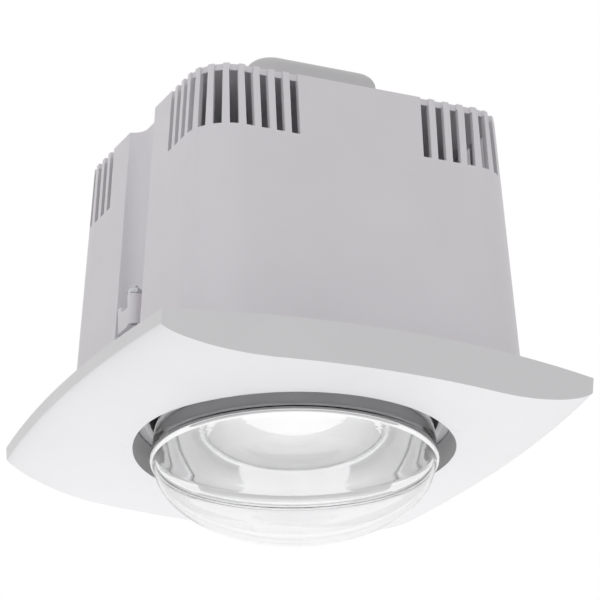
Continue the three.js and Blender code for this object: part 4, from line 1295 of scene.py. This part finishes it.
class HEATER_OT_covers(bpy.types.Operator):
    """Moulds the lampholder cover and the terminal cover"""

    bl_idname = "heater.covers"
    bl_label = "Covers"

    def execute(self, context):
        scene = context.scene
        size, screw, terminal = scene.heater_cover, scene.heater_screw, scene.heater_terminal
        roof = scene.heater_housing.height
        low = roof + screw.room
        hole = screw.radius + screw.room
        centre = size.half_depth + screw.room + size.box_half_depth

        high = roof + size.rise
        plan = (size.half_width, size.half_depth, size.corner)
        cover = self.hood("lampholder_cover_moulded", plan, (low, high), size.wall, size.top_round, 0)
        for side in SIDES:
            place = (-side * size.post_place, side * size.post_place)
            post = rod("post", size.post_radius, low, high - size.wall / 2, place, POST_FACETS)
            carve(cover, post, "UNION")
            carve(cover, rod("hole", hole, low - size.wall, low + screw.length, place))
        plan = (size.box_half_width, size.box_half_depth, size.box_corner)
        levels = (low, low + size.box_height)
        box = self.hood("terminal_cover_moulded", plan, levels, size.box_wall, size.box_round, centre)
        ear_plan = ((size.ear_length + size.box_wall) / 2, size.ear_length / 2, size.ear_length / 5)
        for side in SIDES:
            place = side * (size.box_half_width + size.ear_length / 2)
            ear = rounded_block("ear", ear_plan, ear_plan, low, low + size.ear_thickness, EAR_CORNER)
            ear.location = (place - side * size.box_wall / 2, centre, 0)
            carve(box, settle(ear, "ear"), "UNION")
            carve(box, rod("hole", hole, low - size.wall, low + 2 * size.ear_thickness, (place, centre)))
        reach = size.half_depth + size.box_half_depth
        for piece in (cover, box):
            for side in SIDES:
                drill = lying_rod("lead_hole", terminal.lead_radius + screw.room, 0, reach)
                drill.location = (side * terminal.lead_offset, 0, roof + terminal.lead_height)
                carve(piece, settle(drill, "lead_hole"))
        back = centre + size.box_half_depth
        bore = terminal.grommet_neck + screw.room
        start, end = back - 2 * size.box_wall, back + size.box_wall
        drill = lying_rod("grommet_hole", bore, start, end, SLEEVE_FACETS)
        drill.location.z = roof + terminal.grommet_height
        carve(box, settle(drill, "grommet_hole"))
        for piece, node in ((cover, "lampholder_cover"), (box, "terminal_cover")):
            round_edges(piece, size.box_wall / 8)
            smooth(piece)
            hand_over(piece, "housing", "cover_plastic", node)
        return {"FINISHED"}

    @staticmethod
    def hood(name, plan, levels, wall, rounding, centre):
        """A hollow rounded box, open below, with a rounded top edge."""
        low, high = levels
        hood = rounded_block(name, plan, plan, low, high)
        round_top(hood, high, rounding, 6)
        inner_plan = tuple(value - wall for value in plan)
        hollow = rounded_block("hollow", inner_plan, inner_plan, low - wall, high - wall)
        round_top(hollow, high - wall, max(rounding - wall, wall / 4), 4)
        carve(hood, hollow)
        hood.location.y = centre
        return settle(hood, name)


class HEATER_OT_terminals(bpy.types.Operator):
    """Makes the terminal block with its screws, the leads and the grommet"""

    bl_idname = "heater.terminals"
    bl_label = "Terminals, leads and grommet"

    def execute(self, context):
        scene = context.scene
        size, screw, cover = scene.heater_terminal, scene.heater_screw, scene.heater_cover
        roof = scene.heater_housing.height
        low = roof + screw.room
        centre = cover.half_depth + screw.room + cover.box_half_depth
        high = low + size.height
        outer = (size.width, size.depth, size.height)
        body = block("terminal_block_moulded", outer, (0, centre, (low + high) / 2))
        well = high - size.well_depth
        master = self.screw(size, screw, well + screw.room)
        for number in range(size.poles):
            x = (number - (size.poles - 1) / 2) * size.pitch
            carve(body, rod("well", size.well_radius, well, high + screw.room, (x, centre), POST_FACETS))
            copy = twin(master, f"terminal_screw_{number + 1}_turned", (x, centre, 0))
            hand_over(copy, "housing", "brass", f"terminal_screw_{number + 1}")
        bpy.data.objects.remove(master)
        groove = (size.well_radius / 2, 2 * size.depth, size.well_depth)
        for number in range(size.poles - 1):
            x = (number + 1 - size.poles / 2) * size.pitch
            carve(body, block("groove", groove, (x, centre, high)))
        round_edges(body, size.well_radius / 8)
        smooth(body)
        hand_over(body, "housing", "nylon", "terminal_block")
        self.grommet(size, cover, screw.room, centre, roof)
        holder = scene.heater_holder
        inside = size.lead_offset - size.lead_radius
        start = math.sqrt(holder.head_radius**2 - inside**2) + screw.room
        end = centre - size.depth / 2 - screw.room
        for side, word, slot in (
            (-1, "live", "lead_insulation_brown"),
            (1, "neutral", "lead_insulation_blue"),
        ):
            lead = lying_rod(f"lead_{word}_cut", size.lead_radius, start, end, POST_FACETS)
            lead.location = (side * size.lead_offset, 0, roof + size.lead_height)
            settle(lead, f"lead_{word}_cut")
            round_edges(lead, size.lead_radius / 4, 3)
            smooth(lead)
            hand_over(lead, "housing", slot, f"lead_{word}")
        return {"FINISHED"}

    @staticmethod
    def screw(size, small, low):
        """A slotted terminal screw, standing on the axis."""
        high = low + size.screw_height
        screw = rod("terminal_screw", size.screw_radius, low, high, facets=POST_FACETS)
        driver_slot = (3 * size.screw_radius, small.slot_width, 2 * small.slot_depth)
        carve(screw, block("slot", driver_slot, (0, 0, high)))
        round_edges(screw, size.screw_radius / 12)
        return smooth(screw)

    @staticmethod
    def grommet(size, cover, room, centre, roof):
        """The cable grommet in the back wall of the terminal cover."""
        seat = cover.box_wall / 2 + room
        lip = seat + size.grommet_lip
        half = [(size.grommet_neck, seat), (size.grommet_flange, seat)]
        half += [(size.grommet_flange, lip), (size.grommet_bore, lip)]
        profile = [(radius, -height) for radius, height in reversed(half)] + half
        grommet = turned("cable_grommet_moulded", profile, STEM_FACETS, closed=True)
        round_edges(grommet, size.grommet_lip / 3, 4)
        grommet.rotation_euler.x = QUARTER_TURN
        grommet.location = (0, centre + cover.box_half_depth - cover.box_wall / 2, roof + size.grommet_height)
        settle(grommet, "cable_grommet_moulded")
        smooth(grommet)
        hand_over(grommet, "housing", "grommet_rubber", "cable_grommet")


class HEATER_OT_lamp_inside(bpy.types.Operator):
    """Makes the lamp's stem, lead wires and filament"""

    bl_idname = "heater.lamp_inside"
    bl_label = "Stem and filament"

    def execute(self, context):
        scene = context.scene
        size = scene.heater_lamp_inside
        room = scene.heater_screw.room
        profile = [
            (0, size.stem_low),
            (size.stem_radius * 0.8, size.stem_low),
            (size.stem_radius, size.stem_low + size.stem_radius * 0.3),
        ]
        for step in range(STEM_STEPS + 1):
            part = step / STEM_STEPS
            radius = size.stem_radius + (size.stem_flare_radius - size.stem_radius) * part**FLARE_CURVE
            profile.append((radius, size.stem_waist + (size.stem_flare_height - size.stem_waist) * part))
        top = size.stem_flare_height + size.stem_disc
        stem = turned("lamp_stem_drawn", [*profile, (size.stem_flare_radius, top), (0, top)], STEM_FACETS)
        smooth(stem)
        hand_over(stem, "lamp", "clear_glass", "lamp_stem")

        out = size.filament_half + room + size.wire_radius
        high = size.stem_low - room - size.wire_radius
        low = size.filament_height - size.filament_sag
        for side, word in SIDE_WORDS:
            path = []
            for step in range(STEM_STEPS + 1):
                part = step / STEM_STEPS
                x = (1 - part) ** 2 * size.wire_start + (2 * part * (1 - part) + part**2) * out
                z = ((1 - part) ** 2 + 2 * part * (1 - part)) * high + part**2 * low
                path.append((side * x, 0, z))
            wire = drawn_wire(f"lamp_lead_wire_{word}_bent", path, size.wire_radius)
            hand_over(wire, "lamp", "zinc_steel", f"lamp_lead_wire_{word}")

        path = []
        steps = size.filament_turns * COIL_STEPS
        for step in range(steps + 1):
            part = step / steps
            curl = FULL_TURN * size.filament_turns * part
            radius = size.filament_coil * math.sqrt(max(0, math.sin(math.pi * part)))
            sag = size.filament_sag * math.sin(math.pi * part)
            z = size.filament_height - sag + radius * (1 - math.cos(curl))
            path.append((size.filament_half * (2 * part - 1), radius * math.sin(curl), z))
        coil = drawn_wire("lamp_filament_wound", path, size.filament_wire, 2)
        hand_over(coil, "lamp", "tungsten", "lamp_filament")
        return {"FINISHED"}


class HEATER_OT_lamp_cap(bpy.types.Operator):
    """Rolls the lamp's screw cap and makes its insulator and centre contact"""

    bl_idname = "heater.lamp_cap"
    bl_label = "Lamp cap"

    def execute(self, context):
        scene = context.scene
        size = scene.heater_lamp_inside
        room = scene.heater_screw.room
        skirt = size.cap_low + size.cap_skirt
        run = size.cap_turns * size.cap_pitch
        end = skirt + run + size.shoulder_height

        def line(inset):
            rings = CAP_RINGS * size.cap_turns
            wide = size.cap_radius + size.cap_ridge
            levels = [size.cap_low, skirt, *[skirt + run * ring / rings for ring in range(1, rings + 1)]]
            return [*[(wide - inset, level) for level in levels], (size.shoulder_radius - inset, end)]

        profile = [*line(0), *reversed(line(size.cap_wall))]
        shell = turned("lamp_cap_shell_rolled", profile, CAP_FACETS, closed=True)
        helix(shell, size.cap_ridge, size.cap_ridge, size.cap_pitch, skirt, skirt + run)
        smooth(shell, 50)
        hand_over(shell, "lamp", "brass", "lamp_cap_shell")

        wide = size.shoulder_radius - size.cap_wall - room
        tip = size.contact_top - size.insulator_tip
        profile = [(0, end - size.insulator_drop), (wide, end - size.insulator_drop)]
        profile += [(wide, end + size.insulator_rise), (size.insulator_tip_radius, tip), (0, tip)]
        insulator = turned("lamp_cap_insulator_fused", profile, STEM_FACETS)
        round_edges(insulator, room, 3)
        smooth(insulator)
        hand_over(insulator, "lamp", "black_glass", "lamp_cap_insulator")

        profile = [(0, tip + room), (size.contact_radius, tip + room)]
        crown = size.contact_top - tip - 2 * room
        for step in range(CROWN_STEPS + 1):
            turn = QUARTER_TURN * step / CROWN_STEPS
            profile.append((size.contact_radius * math.cos(turn), tip + 2 * room + crown * math.sin(turn)))
        contact = turned("lamp_cap_contact_soldered", profile, STEM_FACETS)
        smooth(contact)
        hand_over(contact, "lamp_centre_contact", "zinc_steel", "lamp_cap_contact")
        return {"FINISHED"}


class HEATER_OT_clamps(bpy.types.Operator):
    """Makes the two ceiling clamps, each with screw, nut and jaw"""

    bl_idname = "heater.clamps"
    bl_label = "Ceiling clamps"

    def execute(self, context):
        size = context.scene.heater_clamp
        small = context.scene.heater_screw
        head = (size.head_radius, size.head_height)
        bolt = slotted_screw("bolt", small, *head, size.radius, size.screw_top + size.seat, size.pitch)
        bore = size.radius + small.room
        nut = self.nut(size, small, bore)
        jaw = self.jaw(size, bore)
        for side, word in SIDE_WORDS:
            turn = 0 if side < 0 else 2 * QUARTER_TURN
            for master, kind, made, height, slot in (
                (bolt, "screw", "rolled", -size.seat, "zinc_steel"),
                (nut, "nut", "tapped", 0, "zinc_steel"),
                (jaw, "jaw", "moulded", 0, "clamp_plastic"),
            ):
                node = f"clamp_{kind}_{word}"
                copy = twin(master, f"{node}_{made}", (side * size.axis, 0, height), turn)
                hand_over(copy, f"{word}_clamp_{kind}", slot, node)
        for master in (bolt, nut, jaw):
            bpy.data.objects.remove(master)
        return {"FINISHED"}

    @staticmethod
    def nut(size, small, bore):
        """A six-sided nut with rounded-off corners."""
        low = size.jaw_high + small.room
        high = low + size.nut_height
        nut = rod("nut", size.nut_radius, low, high, facets=6)
        chamfer = size.nut_height / 6
        slope = chamfer * NUT_SLOPE
        inner, outer = size.nut_radius - chamfer, size.nut_radius + chamfer
        profile = [(0, low), (inner, low), (outer, low + slope)]
        profile += [(outer, high - slope), (inner, high), (0, high)]
        carve(nut, turned("envelope", profile, SLEEVE_FACETS), "INTERSECT")
        carve(nut, rod("bore", bore, low - chamfer, high + chamfer))
        round_edges(nut, chamfer / 4)
        return smooth(nut)

    @staticmethod
    def jaw(size, bore):
        """A round sleeve with a foot and its lip, stowed towards +Y."""
        low, top = size.jaw_low, size.jaw_low + size.foot_height
        jaw = rod("jaw", size.sleeve, low, size.jaw_high, facets=SLEEVE_FACETS)
        foot = (size.foot_width, size.foot_reach, size.foot_height)
        carve(jaw, block("foot", foot, (0, size.foot_reach / 2, (low + top) / 2)), "UNION")
        back = size.foot_reach - size.lip_width
        line = [(size.foot_reach, top - size.lip_height), (size.foot_reach, top + size.lip_height)]
        line += [(back, top + size.lip_height), (back - size.lip_slope, top)]
        line.append((back - size.lip_slope, top - size.lip_height))
        carve(jaw, side_profile("lip", line, size.foot_width), "UNION")
        carve(jaw, rod("bore", bore, low - bore, size.jaw_high + bore))
        round_edges(jaw, size.lip_slope / 4, 3)
        return smooth(jaw)


# Stage


# Camera: its turns in degrees, its distance and aim in metres, and its focal length in picture points.
CAMERA_YAW = 24.712
CAMERA_PITCH = 22.336
CAMERA_ROLL = -0.497
CAMERA_DISTANCE = 1.873718
AIM_ASIDE = 0.002952
AIM_HEIGHT = 0.05311
FOCAL_POINTS = 4292.709
PICTURE_POINTS = 600
SENSOR_WIDTH = 36
CLIP_NEAR, CLIP_FAR = 0.1, 20

# Floor: its facets, its radius in metres, its paint, and how much it glows where it is looked at.
FLOOR_FACETS = 96
FLOOR_RADIUS = 6
FLOOR_PAINT = 0.9
FLOOR_GLOW = 0.49

# Card behind the camera: a piece of a sphere, in metres, that fades from its foot to the ceiling's level.
CARD_FACETS = 64
CARD_RADIUS = 2.1
CARD_FOOT = -1.72
CARD_HEAD = 0.45
CARD_EDGE = (0, -0.1, 0)
CARD_FACING = (0.42, 0.91, 0)
CARD_BRIGHT = 1
CARD_DIM = 0.44

# Soft square lamps: name, place, height of the aim on the lamp axis, and side in metres; power in watts.
LAMPS = (
    ("light_below", (0.1, 0.35, -1.15), 0, 1.2, 10),
    ("light_front", (0.6, -1.5, 1.7), 0.04, 1.2, 4.2),
    ("light_left", (-1.8, -0.6, 1.2), 0.04, 1.2, 6.2),
    ("light_low", (0.3, -1.9, -0.2), 0, 1, 0.4),
)


def looked_at(tree):
    """1 where the camera looks, directly, in a reflection or through glass; 0 for light."""
    path = add_node(tree, "LightPath")
    value = path.outputs["Is Camera Ray"]
    for name in ("Is Glossy Ray", "Is Transmission Ray"):
        either = add_node(tree, "Math")
        either.operation = "MAXIMUM"
        tree.links.new(value, either.inputs[0])
        tree.links.new(path.outputs[name], either.inputs[1])
        value = either.outputs[0]
    return value


def mixed(tree, share_of_second, first, second):
    """A mix of two shaders."""
    mix = add_node(tree, "MixShader")
    tree.links.new(share_of_second, mix.inputs["Fac"])
    tree.links.new(first, mix.inputs[1])
    tree.links.new(second, mix.inputs[2])
    return mix.outputs["Shader"]


def stage_piece(piece, name, make_surface):
    """Gives a piece of the stage its material and declares it stage."""
    material = bpy.data.materials.new(name)
    tree = empty_tree(material)
    tree.links.new(make_surface(tree), add_node(tree, "OutputMaterial").inputs["Surface"])
    piece.data.materials.append(material)


class HEATER_OT_stage(bpy.types.Operator):
    """Sets the camera, the soft lamps, the surroundings and the floor"""

    bl_idname = "heater.stage"
    bl_label = "Stage"

    def execute(self, context):
        scene = context.scene
        self.camera(scene)
        self.surroundings(scene)
        self.floor(scene.heater_stage.floor_drop)
        self.card()
        for lamp in LAMPS:
            self.lamp(scene, *lamp)
        scene.view_settings.view_transform = "Standard"
        return {"FINISHED"}

    @staticmethod
    def camera(scene):
        """The camera, which looks up at the heater from the front and the left."""
        yaw, pitch, roll = (math.radians(angle) for angle in (CAMERA_YAW, CAMERA_PITCH, CAMERA_ROLL))
        ahead = Vector((math.sin(yaw) * math.cos(pitch), math.cos(yaw) * math.cos(pitch), math.sin(pitch)))
        level = Vector((math.cos(yaw), -math.sin(yaw), 0))
        above = level.cross(ahead)
        right = level * math.cos(roll) + above * math.sin(roll)
        top = above * math.cos(roll) - level * math.sin(roll)
        aim = level * AIM_ASIDE + Vector((0, 0, AIM_HEIGHT))
        data = bpy.data.cameras.new("camera")
        data.sensor_width = SENSOR_WIDTH
        data.lens = FOCAL_POINTS * SENSOR_WIDTH / PICTURE_POINTS
        data.clip_start, data.clip_end = CLIP_NEAR, CLIP_FAR
        viewer = bpy.data.objects.new("camera", data)
        scene.collection.objects.link(viewer)
        turn = Matrix((right, top, -ahead)).transposed()
        viewer.matrix_world = Matrix.Translation(aim - ahead * CAMERA_DISTANCE) @ turn.to_4x4()
        scene.camera = viewer

    @staticmethod
    def surroundings(scene):
        """White to the camera, in reflections and through glass; softer as light."""
        scene.world = bpy.data.worlds.new("surroundings")
        tree = empty_tree(scene.world)
        white = (1, 1, 1, 1)
        seen = add_node(tree, "Background", Color=white)
        light = add_node(tree, "Background", Color=white, Strength=scene.heater_stage.daylight)
        mix = mixed(tree, looked_at(tree), light.outputs["Background"], seen.outputs["Background"])
        tree.links.new(mix, add_node(tree, "OutputWorld").inputs["Surface"])

    @staticmethod
    def floor(drop):
        """A pale round floor that shows only from above."""
        clear_selection()
        bpy.ops.mesh.primitive_circle_add(
            vertices=FLOOR_FACETS, radius=FLOOR_RADIUS, fill_type="NGON", location=(0, 0, -drop)
        )

        def surface(tree):
            paint = add_node(tree, "BsdfDiffuse", Color=(FLOOR_PAINT, FLOOR_PAINT, FLOOR_PAINT, 1))
            glow = add_node(tree, "Emission", Color=(FLOOR_GLOW, FLOOR_GLOW, FLOOR_GLOW, 1))
            tree.links.new(looked_at(tree), glow.inputs["Strength"])
            both = add_node(tree, "AddShader")
            tree.links.new(paint.outputs["BSDF"], both.inputs[0])
            tree.links.new(glow.outputs["Emission"], both.inputs[1])
            below = add_node(tree, "NewGeometry").outputs["Backfacing"]
            clear = add_node(tree, "BsdfTransparent").outputs["BSDF"]
            return mixed(tree, below, both.outputs["Shader"], clear)

        stage_piece(settle(bpy.context.object, "floor"), "floor", surface)

    @staticmethod
    def card():
        """A curved grey card behind the camera that shows in reflections only."""
        clear_selection()
        bpy.ops.mesh.primitive_uv_sphere_add(
            segments=CARD_FACETS, ring_count=CARD_FACETS // 2, radius=CARD_RADIUS
        )
        edit_all(bpy.context.object)
        for height, below in ((CARD_FOOT, True), (CARD_HEAD, False)):
            bpy.ops.mesh.select_all(action="SELECT")
            bpy.ops.mesh.bisect(
                plane_co=(0, 0, height), plane_no=(0, 0, 1), clear_inner=below, clear_outer=not below
            )
        bpy.ops.mesh.select_all(action="SELECT")
        bpy.ops.mesh.bisect(plane_co=CARD_EDGE, plane_no=CARD_FACING, clear_outer=True)
        bpy.ops.object.mode_set(mode="OBJECT")

        def surface(tree):
            split = add_node(tree, "SeparateXYZ")
            fade = add_node(
                tree, "MapRange", From_Min=CARD_FOOT, From_Max=0, To_Min=CARD_BRIGHT, To_Max=CARD_DIM
            )
            grey = add_node(tree, "Emission")
            tree.links.new(add_node(tree, "TexCoord").outputs["Object"], split.inputs["Vector"])
            tree.links.new(split.outputs["Z"], fade.inputs["Value"])
            tree.links.new(fade.outputs["Result"], grey.inputs["Strength"])
            return grey.outputs["Emission"]

        card = settle(bpy.context.object, "card")
        card.visible_camera = False
        card.visible_diffuse = False
        card.visible_shadow = False
        stage_piece(card, "card", surface)

    @staticmethod
    def lamp(scene, name, place, aim_height, side, power):
        """A soft square lamp that shows neither to the camera nor in glass and metal."""
        data = bpy.data.lights.new(name, "AREA")
        data.shape = "SQUARE"
        data.size = side
        data.energy = power
        item = bpy.data.objects.new(name, data)
        scene.collection.objects.link(item)
        item.location = place
        item.rotation_euler = (Vector((0, 0, aim_height)) - Vector(place)).to_track_quat("-Z", "Y").to_euler()
        item.visible_camera = False
        item.visible_glossy = False
        item.visible_transmission = False


# Panel and registration


OPERATORS = (
    HEATER_OT_housing,
    HEATER_OT_fascia,
    HEATER_OT_fascia_clips,
    HEATER_OT_heat_shield,
    HEATER_OT_screws,
    HEATER_OT_lampholder,
    HEATER_OT_covers,
    HEATER_OT_terminals,
    HEATER_OT_lamp_glass,
    HEATER_OT_lamp_inside,
    HEATER_OT_lamp_cap,
    HEATER_OT_clamps,
    HEATER_OT_stage,
)


class HEATER_PT_panel(bpy.types.Panel):
    """Lists the heater's sizes, colours and pieces"""

    bl_idname = "HEATER_PT_panel"
    bl_label = "Ceiling heater"
    bl_space_type = "VIEW_3D"
    bl_region_type = "UI"
    bl_category = "Heater"

    def draw(self, context):
        for name, group in SETTINGS.items():
            column = self.layout.column(heading=group.__doc__)
            values = getattr(context.scene, name)
            for key in group.__annotations__:
                column.prop(values, key)
        for operator in OPERATORS:
            self.layout.operator(operator.bl_idname)


CLASSES = (*SETTINGS.values(), *OPERATORS, HEATER_PT_panel)


def register():
    """Makes the settings, operators and panel known."""
    for item in CLASSES:
        bpy.utils.register_class(item)
    for name, group in SETTINGS.items():
        setattr(bpy.types.Scene, name, PointerProperty(type=group))


def unregister():
    """Takes them away again."""
    for name in SETTINGS:
        delattr(bpy.types.Scene, name)
    for item in reversed(CLASSES):
        bpy.utils.unregister_class(item)


def main():
    """Makes every piece and the stage, then writes both boxes."""
    register()
    for operator in OPERATORS:
        group, name = operator.bl_idname.split(".")
        getattr(getattr(bpy.ops, group), name)()


if __name__ == "__main__":
    main()
